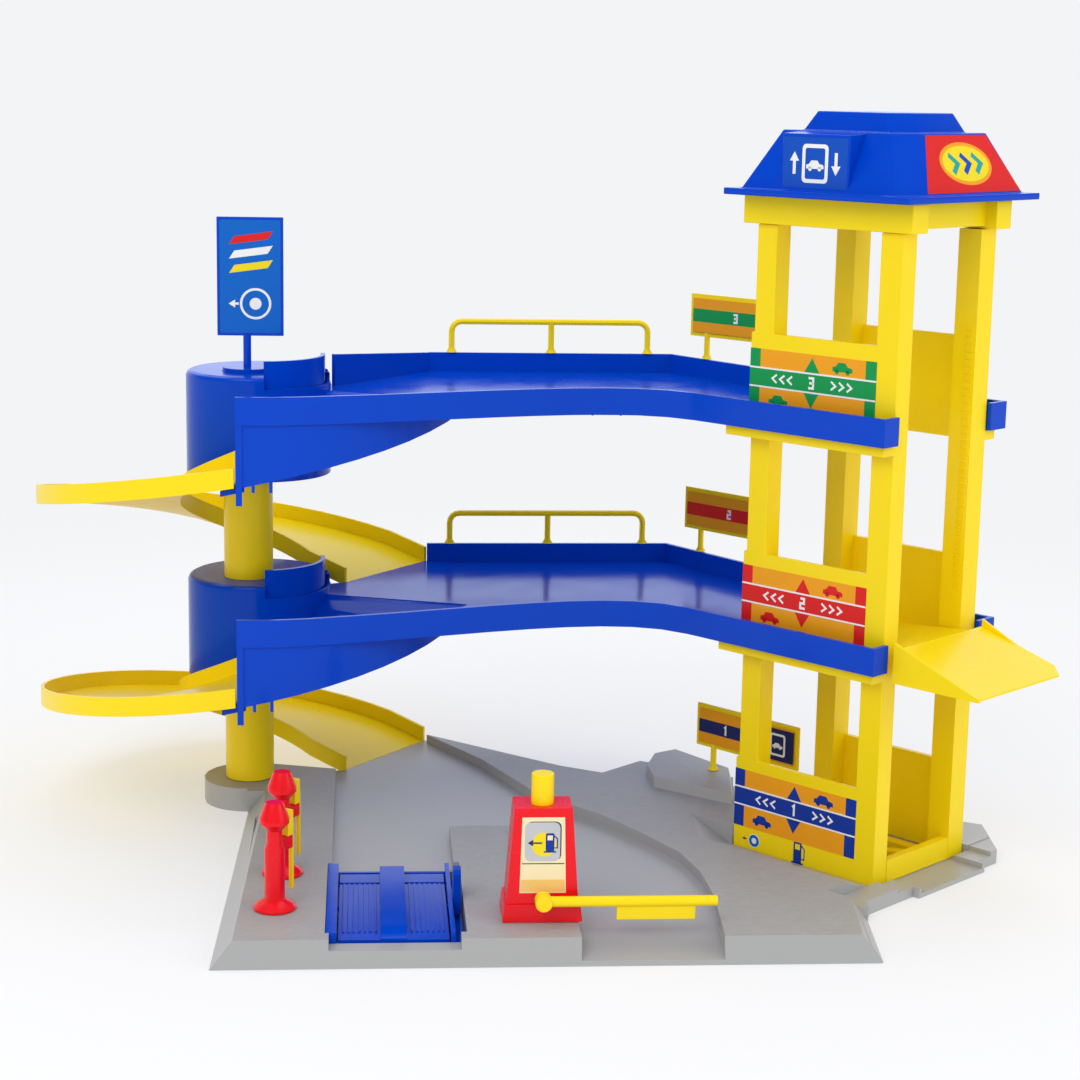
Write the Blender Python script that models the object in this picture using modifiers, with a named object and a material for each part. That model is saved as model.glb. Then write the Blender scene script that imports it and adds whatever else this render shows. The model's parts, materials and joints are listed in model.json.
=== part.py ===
"""A toy parking garage: a grey base, a spiral ramp round a column, two upper decks and a lift tower.

Lengths are in metres and +Z is up. The layout is drawn with the spiral's axis as its origin, and the
tower has a frame of its own, turned on the base. At the end the root empty carries everything so that
the box round the garage stands centred on the origin.
"""

from math import atan2, cos, degrees, hypot, pi, radians, sin

import bmesh
import bpy
from mathutils import Matrix, Vector

# Clearances and shared shape values
GAP = 0.0003
OVERRUN = 0.002
WALL = 0.002
ARC_STEP = 7.5
ROUND_SIDES = 24
SMALL_SIDES = 12
SMOOTH_ANGLE = 35.0

# Storeys
LANE_TOP = 0.0085
KERB_TOP = 0.014
FIRST_STOREY = 0.118
SECOND_STOREY = 0.121
SLAB = 0.0025
RAIL_RISE = 0.0115
BAND_DROP = 0.0035
RAIL_WALL = 0.0024
SHY = 0.0005

# Spiral ramps
RAMP_OUTER = 0.1285
RAMP_INNER = 0.046
RAMP_FLOOR = 0.002
RAMP_WALL = 0.002
RAMP_WALL_RISE = 0.009
RAMP_START = -93.0
RAMP_SWEEP = 215.0
RAMP_RUN_OUT = 0.028
RAMP_TOP_DROP = 0.0355
DESCENT_START = -18.0
LIP_REACH = 0.006
LIP_SWEEP = 4.0

# Column and hubs
COLUMN_AT = (-0.006, -0.008)
COLUMN_RADIUS = 0.0143
COLUMN_FOOTING = 0.027
HUB_RADIUS = 0.042
HUB_HEIGHT = 0.060
HUB_BELOW_RAIL = 0.001
HUB_TOP_PLATE = 0.0025
HUB_EDGE_ROUND = 0.003
SOCKET_WALL = 0.0025
SOCKET_DEPTH = 0.030
SOCKET_WEB = 0.0025
COLUMN_SEAT_DEPTH = 0.012
GUIDE_RISE = 0.009
GUIDE_LEDGE_DROP = 0.007
GUIDE_INSET = 0.0035
GUIDE_FROM = -83.0
GUIDE_TO = 10.0

# Front rail
BAND_PROUD = 0.001
BAND_LEAVES_CIRCLE = -76.0
RAIL_LEAD_IN = 0.090
RAIL_LEAD_OUT = 0.060
RAIL_MEETS_ARM = 0.128
TONGUE_DROP = 0.0585
TONGUE_ANGLES = (-92.9, -91.4)
TONGUE_THICK = 0.0026
HOOK_DROP = 0.0515
HOOK_ANGLES = (-89.2, -85.0)
HOOK_WIDTH_ANGLE = 0.8

# Back rail
BACK_KINK = (0.254, 0.086)
BACK_ARM_WIDTH = 0.015
FRONT_ARM_WIDTH = 0.013

# Tower
TOWER_AT = (0.337, -0.185)
TOWER_TURN = 41.5
TOWER_WIDTH = 0.084
TOWER_DEPTH = 0.100
POST_WIDTH = 0.012
BACK_POST_WIDTH = 0.014
POST_NEAR = (0.003, 0.017)
POST_FAR = (0.085, 0.098)
FRAME_FOOT = 0.003
FRAME_TOP = 0.353
PANEL_THICK = 0.003
PANEL_RISE = 0.047
PANEL_DROP = 0.0091
LEDGE_REACH = 0.009
LEDGE_LENGTH = 0.1085
RACK_BOTTOM = 0.155
RACK_TOP = 0.300
RACK_PITCH = 0.004
RACK_TOOTH = 0.001
RACK_FROM = 0.005
RACK_WIDTH = 0.004
SILL_TOP = 0.0155
SILL_WIDTH = 0.005
FLOOR_TOP = 0.0065
FLOOR_BAR = 0.007

# Crown and roof
CROWN_TOP = 0.368
CROWN_BEAM = 0.014
CROWN_SIDE_REACH = 0.003
CROWN_NEAR_REACH = 0.014
CROWN_FAR_REACH = 0.006
LINTEL_BOTTOM = 0.357
LINTEL_THICK = 0.003
ROOF_NEAR = 0.013
ROOF_FAR = 0.110
ROOF_SIDE = 0.016
BRIM_THICK = 0.0035
TIER_INSETS = (0.008, 0.009)
TIER_RISES = (0.0285, 0.011)
TIER_SLOPES = (0.0164, 0.0056)
TIER_CHAMFER = 0.012
ROOF_WALL = 0.002
ROOF_SIGN_FROM = 0.038
ROOF_SIGN_TO = 0.082
ROOF_SIGN_RISE = 0.027
ROOF_SIGN_SET_BACK = 0.001

# Lift platform, drawn where it stops at level 2
LIFT_TOP_OVER_DECK = 0.0095
LIFT_END_OVER_DECK = 0.0005
LIFT_FLOOR = 0.002
FLAP_REACH = 0.057
FLAP_ROOT = 0.003
FLAP_DROP = 0.017
FLAP_SKIRT = 0.018
FLAP_CORNER = 0.008
LIFT_SIDE_CLEARANCE = 0.0004
LIFT_END_CLEARANCE = 0.003
LIFT_SKIRT = 0.005
LIFT_SKIRT_FROM = 0.010

# Base
BASE_LEFT = -0.013
BASE_WIDTH = 0.332
BASE_FRONT = 0.282
SHELL = 0.002
LEDGE_TOP = 0.008
LEDGE_LOW = 0.0055
CHANNEL_TOP = 0.0026
LEDGE_OUT = 0.015
CHANNEL_OUT = 0.019
CHANNEL_FROM = 0.012
CHANNEL_TO = 0.074
SOCKET_MARGIN = 0.001
KERB_SLOPE_LEFT = 0.011
KERB_SLOPE_RIGHT = 0.010
KERB_SLOPE_FRONT = 0.003
LEFT_KERB_X = 0.045
ISLAND_TOP = 0.020
RECESS_X = (0.043, 0.113)
RECESS_Y = (-0.270, -0.167)
RECESS_FLOOR = 0.002
LANE_EXIT = 0.030
LANE_EXIT_DROP = 0.0065
BOOTH_ISLAND_X = (0.110, 0.169)
BOOTH_ISLAND_BACK = -0.106
POCKET_ROOF = 0.0025

# Outline points of the base, as shares of its width from its left edge and of its front reach
KERB_LINE_SHARES = (
    (0.3464, -0.277), (0.443, -0.085), (0.536, 0.174), (0.633, 0.305),
    (0.690, 0.418), (0.744, 0.543), (0.765, 0.656), (0.771, 0.794), (0.762, 1.0),
)
REAR_EDGE_SHARES = ((0.8976, 0.060), (0.7395, -0.0656), (0.661, 0.021), (0.587, -0.032))
ISLAND_TOP_SHARES = ((0.742, 0.035), (0.765, -0.052), (0.807, -0.082), (0.888, 0.060))
ISLAND_FOOT_SHARES = ((0.7349, 0.0426), (0.752, -0.0630), (0.807, -0.098), (0.905, 0.070))
ISLAND_FRONT_SHARES = ((0.8705, 0.266), (0.7455, 0.149))
ISLAND_FRONT_TOP_SHARES = ((0.8705, 0.240), (0.7455, 0.118))
RIGHT_FRONT_SHARES = ((1.0, 1.0), (1.015, 0.787))

# Railings
RAILING_ROD = 0.00185
RAILING_X = (0.1155, 0.1775, 0.238)
RAILING_RISE = 0.019
RAILING_BEND = 0.006
FOOT_RADIUS = 0.0034
FOOT_HEIGHT = 0.004

# Level signs, placed in the tower's frame
SIGN_BOARD_HEIGHT = 0.026
SIGN_BOARD_RISE = 0.0135
SIGN_BOARD_THICK = 0.0018
SIGN_POST_RADIUS = 0.0018
SIGN_PAST_POST = 0.013
LOW_SIGN_AT = (0.060, 0.166)
LOW_SIGN_LENGTH = 0.077
HIGH_SIGN_AT = (0.1133, 0.2262)
HIGH_SIGN_LENGTH = 0.073

# Parking sign
PARKING_WIDTH = 0.038
PARKING_HEIGHT = 0.068
PARKING_THICK = 0.002
PARKING_SHIFT = 0.002
PARKING_RISE = 0.020
PARKING_POST = 0.0023

# Booth and barrier
BOOTH_X = 0.151
BOOTH_FACE = -0.257
BOOTH_BASE_WIDTH = 0.040
BOOTH_BASE_DEPTH = 0.028
BOOTH_BASE_HEIGHT = 0.009
BOOTH_FOOT_WIDTH = 0.037
BOOTH_HEAD_WIDTH = 0.029
BOOTH_FOOT_DEPTH = 0.024
BOOTH_HEAD_DEPTH = 0.020
BOOTH_HEIGHT = 0.058
BOOTH_WALL = 0.002
BUTTON_RADIUS = 0.0057
BUTTON_RISE = 0.0155
BUTTON_STEM = 0.003
BUTTON_STEM_DROP = 0.030
BUTTON_FLANGE = 0.0075
BUTTON_FLANGE_THICK = 0.0015
ARM_RADIUS = 0.0027
ARM_PIVOT_RISE = 0.0125
ARM_LENGTH = 0.087
ARM_AXLE = 0.002
ARM_AXLE_LENGTH = 0.012
ARM_BOSS = 0.0042
ARM_PLATE_FROM = 0.0365
ARM_PLATE_TO = 0.076
ARM_PLATE_DROP = 0.0095
ARM_PLATE_THICK = 0.0018

# Fuel pumps
PUMP_PLACES = {"front": (0.0174, -0.235), "rear": (0.0194, -0.183)}
PUMP_BASE = 0.011
PUMP_BASE_THICK = 0.003
PUMP_BODY = 0.0052
PUMP_NECK = 0.0040
PUMP_HEAD = 0.0075
PUMP_HEIGHT = 0.056
PUMP_SHOULDER_SHARE = 0.62
PUMP_NECK_SHARE = 0.74
PUMP_HEAD_SHARE = 0.86
PUMP_HEAD_TOP_SHARE = 0.6
PUMP_ARM_SHARES = (0.52, 0.64)
PUMP_ARM_THICK = 0.0022
HOSE_RADIUS = 0.0013
NOZZLE_WIDTH = 0.0045
NOZZLE_DEPTH = 0.005
NOZZLE_HEIGHT = 0.013
HOSE_LOW_SHARE = 0.12

# Tilting platform
CRADLE_WALL = 0.0022
CRADLE_FLOOR = 0.0012
CRADLE_SIDE = 0.0055
CRADLE_RIGHT = 0.0035
PLATE_TOP = 0.0092
PLATE_THICK = 0.002
PLATE_PIVOT_Y = -0.2185
PLATE_PIVOT_Z = 0.0078
PLATE_PIN = 0.0013
PLATE_MARGIN = 0.0006
PLATE_END_MARGIN = 0.0025
RIDGE_WIDTH = 0.013
RIDGE_RISE = 0.0045
RIDGE_NOSE = 0.010
GROOVE_FROM_BACK = 0.013
GROOVE_WIDTH = 0.003
GROOVE_DEPTH = 0.0009
TREAD_COUNT = 7
TREAD_WIDTH = 0.0012
TREAD_RISE = 0.0006
TREAD_MARGIN_SHARE = 0.12
LEVER_THICK = 0.004
LEVER_LENGTH = 0.011
LEVER_TOP = 0.029

UP = Vector((0.0, 0.0, 1.0))


def clear_scene():
    """Removes whatever the file starts with."""
    for found in list(bpy.data.objects):
        bpy.data.objects.remove(found)


def new_collection(name):
    """A collection of the scene."""
    made = bpy.data.collections.new(name)
    bpy.context.scene.collection.children.link(made)
    return made


clear_scene()
PARTS = new_collection("parking_garage")
CUTTERS = new_collection("cutters_and_joined_shapes")


def empty(name, parent, place, turn):
    """A frame of reference: an empty at place, turned about the vertical."""
    made = bpy.data.objects.new(name, None)
    PARTS.objects.link(made)
    made.parent = parent
    made.location = place
    made.rotation_euler = (0.0, 0.0, radians(turn))
    return made


ROOT = empty("garage_root", None, (0.0, 0.0, 0.0), 0.0)
TOWER = empty("tower_root", ROOT, (*TOWER_AT, 0.0), TOWER_TURN)


def linear(channel):
    """One sRGB channel, 0 to 255, as a linear value."""
    share = channel / 255
    return share / 12.92 if share <= 0.04045 else ((share + 0.055) / 1.055) ** 2.4


def plastic(name, colour, roughness):
    """A moulded plastic in a hex colour."""
    made = bpy.data.materials.new(name)
    made.use_nodes = True
    shader = made.node_tree.nodes["Principled BSDF"]
    channels = [linear(int(colour[start:start + 2], 16)) for start in (0, 2, 4)]
    shader.inputs["Base Color"].default_value = (*channels, 1.0)
    shader.inputs["Roughness"].default_value = roughness
    shader.inputs["Metallic"].default_value = 0.0
    made.diffuse_color = (*channels, 1.0)
    return made


YELLOW = plastic("yellow_plastic", "F2DC12", 0.35)
BLUE = plastic("blue_plastic", "1233B8", 0.28)
RED = plastic("red_plastic", "E3101C", 0.30)
GREY = plastic("grey_plastic", "9C9B99", 0.50)


def add_object(name, data, frame):
    """An object of the part, carried by a frame."""
    made = bpy.data.objects.new(name, data)
    PARTS.objects.link(made)
    made.parent = frame
    return made


def from_shape(name, frame, shape):
    """An object from a bmesh, with its faces turned outwards."""
    bmesh.ops.recalc_face_normals(shape, faces=shape.faces)
    mesh = bpy.data.meshes.new(name)
    shape.to_mesh(mesh)
    shape.free()
    return add_object(name, mesh, frame)


def box(name, frame, low, high):
    """A box between two opposite corners."""
    shape = bmesh.new()
    bmesh.ops.create_cube(shape, size=1.0)
    sides = [top - bottom for bottom, top in zip(low, high)]
    middle = [(top + bottom) / 2 for bottom, top in zip(low, high)]
    bmesh.ops.scale(shape, vec=sides, verts=shape.verts)
    bmesh.ops.translate(shape, vec=middle, verts=shape.verts)
    return from_shape(name, frame, shape)


def cone(name, frame, start, end, start_radius, end_radius, sides=SMALL_SIDES):
    """A cone or a cylinder between two points."""
    start, end = Vector(start), Vector(end)
    shape = bmesh.new()
    bmesh.ops.create_cone(
        shape, cap_ends=True, segments=sides,
        radius1=start_radius, radius2=end_radius, depth=(end - start).length,
    )
    turn = UP.rotation_difference(end - start).to_matrix().to_4x4()
    place = Matrix.Translation((start + end) / 2) @ turn
    bmesh.ops.transform(shape, matrix=place, verts=shape.verts)
    return from_shape(name, frame, shape)


def rod(name, frame, start, end, radius, sides=SMALL_SIDES):
    """A round rod between two points."""
    return cone(name, frame, start, end, radius, radius, sides)


def meshed(made):
    """A curve object turned into a mesh object of the same name and place."""
    name = made.name
    graph = bpy.context.evaluated_depsgraph_get()
    mesh = bpy.data.meshes.new_from_object(made.evaluated_get(graph))
    shape = bmesh.new()
    shape.from_mesh(mesh)
    bmesh.ops.remove_doubles(shape, verts=shape.verts, dist=GAP / 100)
    bmesh.ops.recalc_face_normals(shape, faces=shape.faces)
    shape.to_mesh(mesh)
    shape.free()
    solid = add_object(name, mesh, made.parent)
    solid.matrix_basis = made.matrix_basis
    bpy.data.objects.remove(made)
    solid.name = name
    return solid


def poly_curve(name, frame, points, closed):
    """A curve object on one POLY spline."""
    curve = bpy.data.curves.new(name, "CURVE")
    spline = curve.splines.new("POLY")
    spline.points.add(len(points) - 1)
    for made, point in zip(spline.points, points):
        made.co = (*point, 1.0)
    spline.use_cyclic_u = closed
    return add_object(name, curve, frame)


def plate(name, frame, outline, bottom, top):
    """A flat outline raised from bottom to top."""
    made = poly_curve(name, frame, [(x, y, 0.0) for x, y in outline], True)
    made.data.dimensions = "2D"
    made.data.fill_mode = "BOTH"
    made.data.extrude = (top - bottom) / 2
    made.location.z = (top + bottom) / 2
    return meshed(made)


def tube(name, frame, points, radius):
    """A round bar along a path."""
    made = poly_curve(name, frame, points, False)
    made.data.dimensions = "3D"
    made.data.bevel_depth = radius
    made.data.bevel_resolution = 2
    made.data.use_fill_caps = True
    return meshed(made)


def loft(name, frame, rings):
    """A closed solid through rings of equally many points, capped at both ends."""
    shape = bmesh.new()
    rows = [[shape.verts.new(point) for point in ring] for ring in rings]
    count = len(rows[0])
    for row, above in zip(rows, rows[1:]):
        for i in range(count):
            j = (i + 1) % count
            shape.faces.new((row[i], row[j], above[j], above[i]))
    shape.faces.new(rows[0])
    shape.faces.new(reversed(rows[-1]))
    return from_shape(name, frame, shape)


def turned(name, frame, profile, sides=ROUND_SIDES):
    """A profile of (radius, height) pairs turned about the frame's vertical."""
    mesh = bpy.data.meshes.new(name)
    edges = [(i, i + 1) for i in range(len(profile) - 1)]
    mesh.from_pydata([(radius, 0.0, height) for radius, height in profile], edges, [])
    made = add_object(name, mesh, frame)
    screw = made.modifiers.new("turn", "SCREW")
    screw.steps = sides
    screw.render_steps = sides
    screw.use_merge_vertices = True
    screw.merge_threshold = GAP / 100
    return made


def side_prism(name, frame, outline, near, far):
    """An outline of (second axis, height) pairs, drawn out along the frame's first axis."""
    rings = [[(x, y, z) for y, z in outline] for x in (near, far)]
    return loft(name, frame, rings)


def hide_helper(helper):
    """Moves a shape to the cutters, so that only the object it shapes is seen."""
    PARTS.objects.unlink(helper)
    CUTTERS.objects.link(helper)
    helper.hide_render = True
    helper.display_type = "WIRE"


def boolean(target, helpers, operation):
    """Joins shapes to the target or cuts them from it."""
    for helper in helpers:
        step = target.modifiers.new(helper.name, "BOOLEAN")
        step.operation = operation
        step.object = helper
        step.solver = "EXACT"
        hide_helper(helper)
    return target


def join(target, *helpers):
    """The target with the shapes joined to it."""
    return boolean(target, helpers, "UNION")


def cut(target, *helpers):
    """The target with the shapes cut from it."""
    return boolean(target, helpers, "DIFFERENCE")


def finish(made, material):
    """Gives a finished piece its material and soft shading on its round sides."""
    made.data.materials.clear()
    made.data.materials.append(material)
    made.data.shade_smooth()
    made.data.set_sharp_from_angle(angle=radians(SMOOTH_ANGLE))
    return made


def polar(radius, angle):
    """A point round the spiral's axis."""
    return (radius * cos(radians(angle)), radius * sin(radians(angle)))


def arc(radius, start, end, step=ARC_STEP):
    """Points along a circle round the spiral's axis."""
    count = max(1, round(abs(end - start) / step))
    return [polar(radius, start + (end - start) * i / count) for i in range(count + 1)]


def bezier(start, first, second, end, count=10):
    """Points along a cubic curve, without its first point."""
    points = []
    for i in range(1, count + 1):
        t = i / count
        weights = ((1 - t) ** 3, 3 * t * (1 - t) ** 2, 3 * t * t * (1 - t), t ** 3)
        corners = zip(weights, (start, first, second, end))
        points.append(sum((w * Vector(p) for w, p in corners), Vector((0.0, 0.0))))
    return [tuple(point) for point in points]


def moved(path, distance):
    """The path moved to its left by a distance, with mitred corners."""
    points = [Vector(point) for point in path]
    headings = [(b - a).normalized() for a, b in zip(points, points[1:])]
    lefts = [Vector((-heading.y, heading.x)) for heading in headings]
    result = []
    for i, point in enumerate(points):
        before = lefts[max(i - 1, 0)]
        after = lefts[min(i, len(lefts) - 1)]
        mitre = (before + after).normalized()
        result.append(tuple(point + mitre * (distance / mitre.dot(after))))
    return result


def ribbon(path, width):
    """The outline of a wall of this width on the path's left, or on its right if it is negative."""
    return list(path) + moved(path, width)[::-1]


def tower_point(across, along):
    """A point of the tower's frame in the layout."""
    turn = radians(TOWER_TURN)
    x = TOWER_AT[0] + across * cos(turn) - along * sin(turn)
    y = TOWER_AT[1] + across * sin(turn) + along * cos(turn)
    return (x, y)


def deck_floor(level):
    """The height of an upper deck's floor."""
    return LANE_TOP + FIRST_STOREY + (SECOND_STOREY if level == 3 else 0.0)


def arc_block(name, radii, angles, bottom, top):
    """A block between two radii and two angles round the spiral."""
    inner, outer = radii
    outline = arc(outer, *angles) + arc(inner, *angles)[::-1]
    return plate(name, ROOT, outline, bottom, top)


def run_out_point(radius, distance):
    """A point of the straight stretch that follows the spiral's arc."""
    end = RAMP_START - RAMP_SWEEP
    x, y = polar(radius, end)
    heading = polar(distance, end - 90.0)
    return (x + heading[0], y + heading[1])


def ramp_drop(top):
    """The drop from a ramp's top end to its bottom end, onto the deck or lane below."""
    below = LANE_TOP if top < deck_floor(2) else deck_floor(2)
    return top - below


def ramp_stations():
    """(how far along the ramp as a share, a function that places a radius there)."""
    middle = (RAMP_OUTER + RAMP_INNER) / 2
    arc_length = radians(RAMP_SWEEP) * middle
    whole = arc_length + RAMP_RUN_OUT
    start = RAMP_START - degrees(GAP / RAMP_INNER)
    sweep = RAMP_SWEEP + RAMP_START - start
    count = round(RAMP_SWEEP / ARC_STEP)
    stations = []
    for i in range(count + 1):
        angle = start - (sweep * i / count - 2 * (RAMP_START - start) * i / count)
        share = (RAMP_START - angle) / RAMP_SWEEP * arc_length / whole
        stations.append((share, lambda radius, angle=angle: polar(radius, angle)))
    reach = RAMP_RUN_OUT - GAP
    stations.append((1.0, lambda radius: run_out_point(radius, reach)))
    return stations


def ramp(name, top):
    """A yellow trough that winds down from a deck's descent to the floor below."""
    drop = ramp_drop(top)
    outer_wall = RAMP_OUTER - RAMP_WALL
    inner_wall = RAMP_INNER + RAMP_WALL
    rings = []
    for share, place in ramp_stations():
        floor = top - drop * share
        rim = floor + RAMP_WALL_RISE
        section = (
            (RAMP_INNER, floor - RAMP_FLOOR), (RAMP_OUTER, floor - RAMP_FLOOR),
            (RAMP_OUTER, rim), (outer_wall, rim), (outer_wall, floor),
            (inner_wall, floor), (inner_wall, rim), (RAMP_INNER, rim),
        )
        rings.append([(*place(radius), height) for radius, height in section])
    return finish(loft(name, ROOT, rings), YELLOW)


def descent_floor(floor, angle):
    """The floor's height where the deck winds down to the ramp."""
    share = (DESCENT_START - angle) / (DESCENT_START - RAMP_START)
    return floor - RAMP_TOP_DROP * max(share, 0.0)


def descent_loft(name, floor, radii, heights, angles, flat_top=None):
    """A stretch of the descent whose bottom and top follow its floor, unless its top is flat."""
    inner, outer = radii
    low, high = heights
    count = max(1, round(abs(angles[1] - angles[0]) / ARC_STEP))
    rings = []
    for i in range(count + 1):
        angle = angles[0] + (angles[1] - angles[0]) * i / count
        level = descent_floor(floor, angle)
        top = level + high if flat_top is None else flat_top
        section = ((inner, level + low), (outer, level + low), (outer, top), (inner, top))
        rings.append([(*polar(radius, angle), height) for radius, height in section])
    return loft(name, ROOT, rings)


def hub_shell(name, floor):
    """The drum round the column: a shell with a rounded top edge, open below."""
    top = floor + RAIL_RISE - HUB_BELOW_RAIL
    bottom = top - HUB_HEIGHT
    inner = HUB_RADIUS - WALL
    profile = (
        (0.0, top), (HUB_RADIUS - HUB_EDGE_ROUND, top),
        (HUB_RADIUS - HUB_EDGE_ROUND / 3, top - HUB_EDGE_ROUND / 3),
        (HUB_RADIUS, top - HUB_EDGE_ROUND), (HUB_RADIUS, bottom), (inner, bottom),
        (inner, top - HUB_TOP_PLATE), (0.0, top - HUB_TOP_PLATE),
    )
    return turned(name, ROOT, profile, 2 * ROUND_SIDES)


def at_column(height):
    """A point on the column's axis."""
    return (*COLUMN_AT, height)


def add_hub(deck, name, floor):
    """Joins the drum, its guide wall and the column's socket to a deck."""
    top = floor + RAIL_RISE - HUB_BELOW_RAIL
    ledge = top - GUIDE_LEDGE_DROP
    face = HUB_RADIUS - GUIDE_INSET
    socket = COLUMN_RADIUS + GAP
    join(deck, hub_shell(name + "_hub", floor))
    step = arc_block(
        name + "_guide_ledge", (face, HUB_RADIUS + OVERRUN), (GUIDE_FROM, GUIDE_TO), ledge, top + OVERRUN
    )
    cut(deck, step)
    radii = (face - WALL, face + GAP)
    guide = arc_block(
        name + "_guide", radii, (GUIDE_FROM, GUIDE_TO), ledge - HUB_TOP_PLATE, top + GUIDE_RISE
    )
    boss = rod(
        name + "_socket", ROOT, at_column(top - SOCKET_DEPTH), at_column(top - HUB_TOP_PLATE / 2),
        socket + SOCKET_WALL, ROUND_SIDES,
    )
    join(deck, guide, boss)
    seat = top - COLUMN_SEAT_DEPTH
    web_bottom = seat - SOCKET_WEB
    upper = rod(name + "_upper_hole", ROOT, at_column(seat), at_column(top + OVERRUN), socket, ROUND_SIDES)
    lower = rod(
        name + "_lower_hole", ROOT, at_column(top - SOCKET_DEPTH - OVERRUN), at_column(web_bottom),
        socket, ROUND_SIDES,
    )
    cut(deck, upper, lower)


def front_rail_path():
    """The outer line of the front rail, from the ramp's top end to the end of the front arm."""
    radius = RAMP_OUTER + BAND_PROUD
    circle = arc(radius, RAMP_START, BAND_LEAVES_CIRCLE, ARC_STEP / 2)
    start = Vector(circle[-1])
    heading = Vector(polar(RAIL_LEAD_IN, BAND_LEAVES_CIRCLE + 90.0))
    end = Vector(tower_point(-FRONT_ARM_WIDTH, RAIL_MEETS_ARM))
    before_end = Vector(tower_point(-FRONT_ARM_WIDTH, RAIL_MEETS_ARM + RAIL_LEAD_OUT))
    curve = bezier(start, start + heading, before_end, end)
    corner = tower_point(-FRONT_ARM_WIDTH, 0.0)
    return circle + curve + [corner, tower_point(-GAP, 0.0)]


def arrival_line(distance, inset=0.0):
    """The inner and outer ends of the line where a ramp arrives, moved along the ramp."""
    reach = RAMP_RUN_OUT + distance
    return [run_out_point(RAMP_INNER + inset, reach), run_out_point(RAMP_OUTER - inset, reach)]


def back_rail_path():
    """The outer line of the back rail, from the ramp's bottom end to the end of the back arm."""
    side = TOWER_WIDTH + BACK_ARM_WIDTH
    return [
        arrival_line(0.0)[1], BACK_KINK, tower_point(side, TOWER_DEPTH),
        tower_point(side, 0.0), tower_point(TOWER_WIDTH + GAP, 0.0),
    ]


def deck_outline():
    """The outline of the flat floor between the descent, the rails and the tower."""
    inside = RAIL_WALL / 2
    hub = HUB_RADIUS - WALL / 2
    circle = RAMP_OUTER - RAMP_WALL / 3
    front = moved(front_rail_path(), inside)[:-1]
    after_circle = len(arc(circle, RAMP_START, BAND_LEAVES_CIRCLE, ARC_STEP / 2))
    back = moved(back_rail_path(), -inside)[1:-1]
    inner_end, outer_end = arrival_line(0.0, SHY)
    inner_angle = degrees(atan2(inner_end[1], inner_end[0]))
    beside = GAP + SHY
    tower_back = TOWER_DEPTH + GAP
    return (
        arc(circle, DESCENT_START, BAND_LEAVES_CIRCLE)
        + front[after_circle:]
        + [tower_point(-beside, inside), tower_point(-beside, tower_back)]
        + [tower_point(TOWER_WIDTH + beside, tower_back), tower_point(TOWER_WIDTH + beside, inside)]
        + back[::-1]
        + [outer_end, inner_end]
        + arc(hub, inner_angle, DESCENT_START)
    )


def add_descent(deck, name, floor):
    """Joins the helical floor, its outer wall and the ramp's landing to a deck."""
    angles = (DESCENT_START + ARC_STEP / 10, RAMP_START)
    hub = HUB_RADIUS - WALL / 2 - SHY
    flight = descent_loft(
        name + "_descent", floor, (hub, RAMP_OUTER - RAMP_WALL / 2 - SHY), (-RAMP_FLOOR, 0.0), angles
    )
    wall = descent_loft(
        name + "_skirt", floor, (RAMP_OUTER - RAMP_WALL, RAMP_OUTER), (-RAMP_FLOOR - SHY, 0.0),
        (DESCENT_START, RAMP_START), floor - SLAB / 4,
    )
    radii = (RAMP_INNER + OVERRUN, RAMP_OUTER - RAMP_WALL - OVERRUN)
    shelf = -RAMP_FLOOR - GAP
    lip = descent_loft(
        name + "_lip", floor, radii, (2 * shelf - RAMP_FLOOR / 2, shelf - GAP),
        (RAMP_START + LIP_SWEEP / 2, RAMP_START - LIP_SWEEP),
    )
    riser = descent_loft(
        name + "_lip_riser", floor, radii, (2 * shelf - RAMP_FLOOR / 2, -RAMP_FLOOR / 2),
        (RAMP_START + LIP_SWEEP / 2, RAMP_START),
    )
    join(deck, flight, wall, riser, lip)
    rail_top = floor + RAIL_RISE
    outer = RAMP_OUTER + BAND_PROUD
    tongue = arc_block(
        name + "_tongue", (outer - TONGUE_THICK, outer - GAP), TONGUE_ANGLES,
        rail_top - TONGUE_DROP, rail_top - RAIL_RISE / 2,
    )
    join(deck, tongue)
    for number, angle in enumerate(HOOK_ANGLES, 1):
        hook_angles = (angle, angle + HOOK_WIDTH_ANGLE)
        hook = arc_block(
            f"{name}_hook_{number}", (RAMP_OUTER - RAMP_WALL + SHY, RAMP_OUTER - SHY), hook_angles,
            rail_top - HOOK_DROP, rail_top - HOOK_DROP + BAND_DROP * 2,
        )
        join(deck, hook)


def add_ramp_rest(target, name, floor):
    """Joins the shelf on which a ramp's bottom end lies."""
    low = floor - RAMP_FLOOR - GAP - SLAB
    outer = arrival_line(-LIP_REACH, OVERRUN) + arrival_line(LIP_REACH / 2, OVERRUN)[::-1]
    inner = arrival_line(SHY, 2 * OVERRUN) + arrival_line(LIP_REACH, 2 * OVERRUN)[::-1]
    shelf = plate(name + "_shelf", ROOT, outer, low, low + SLAB)
    root = plate(name + "_shelf_root", ROOT, inner, low, floor - SLAB / 2)
    join(target, shelf, root)


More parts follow.
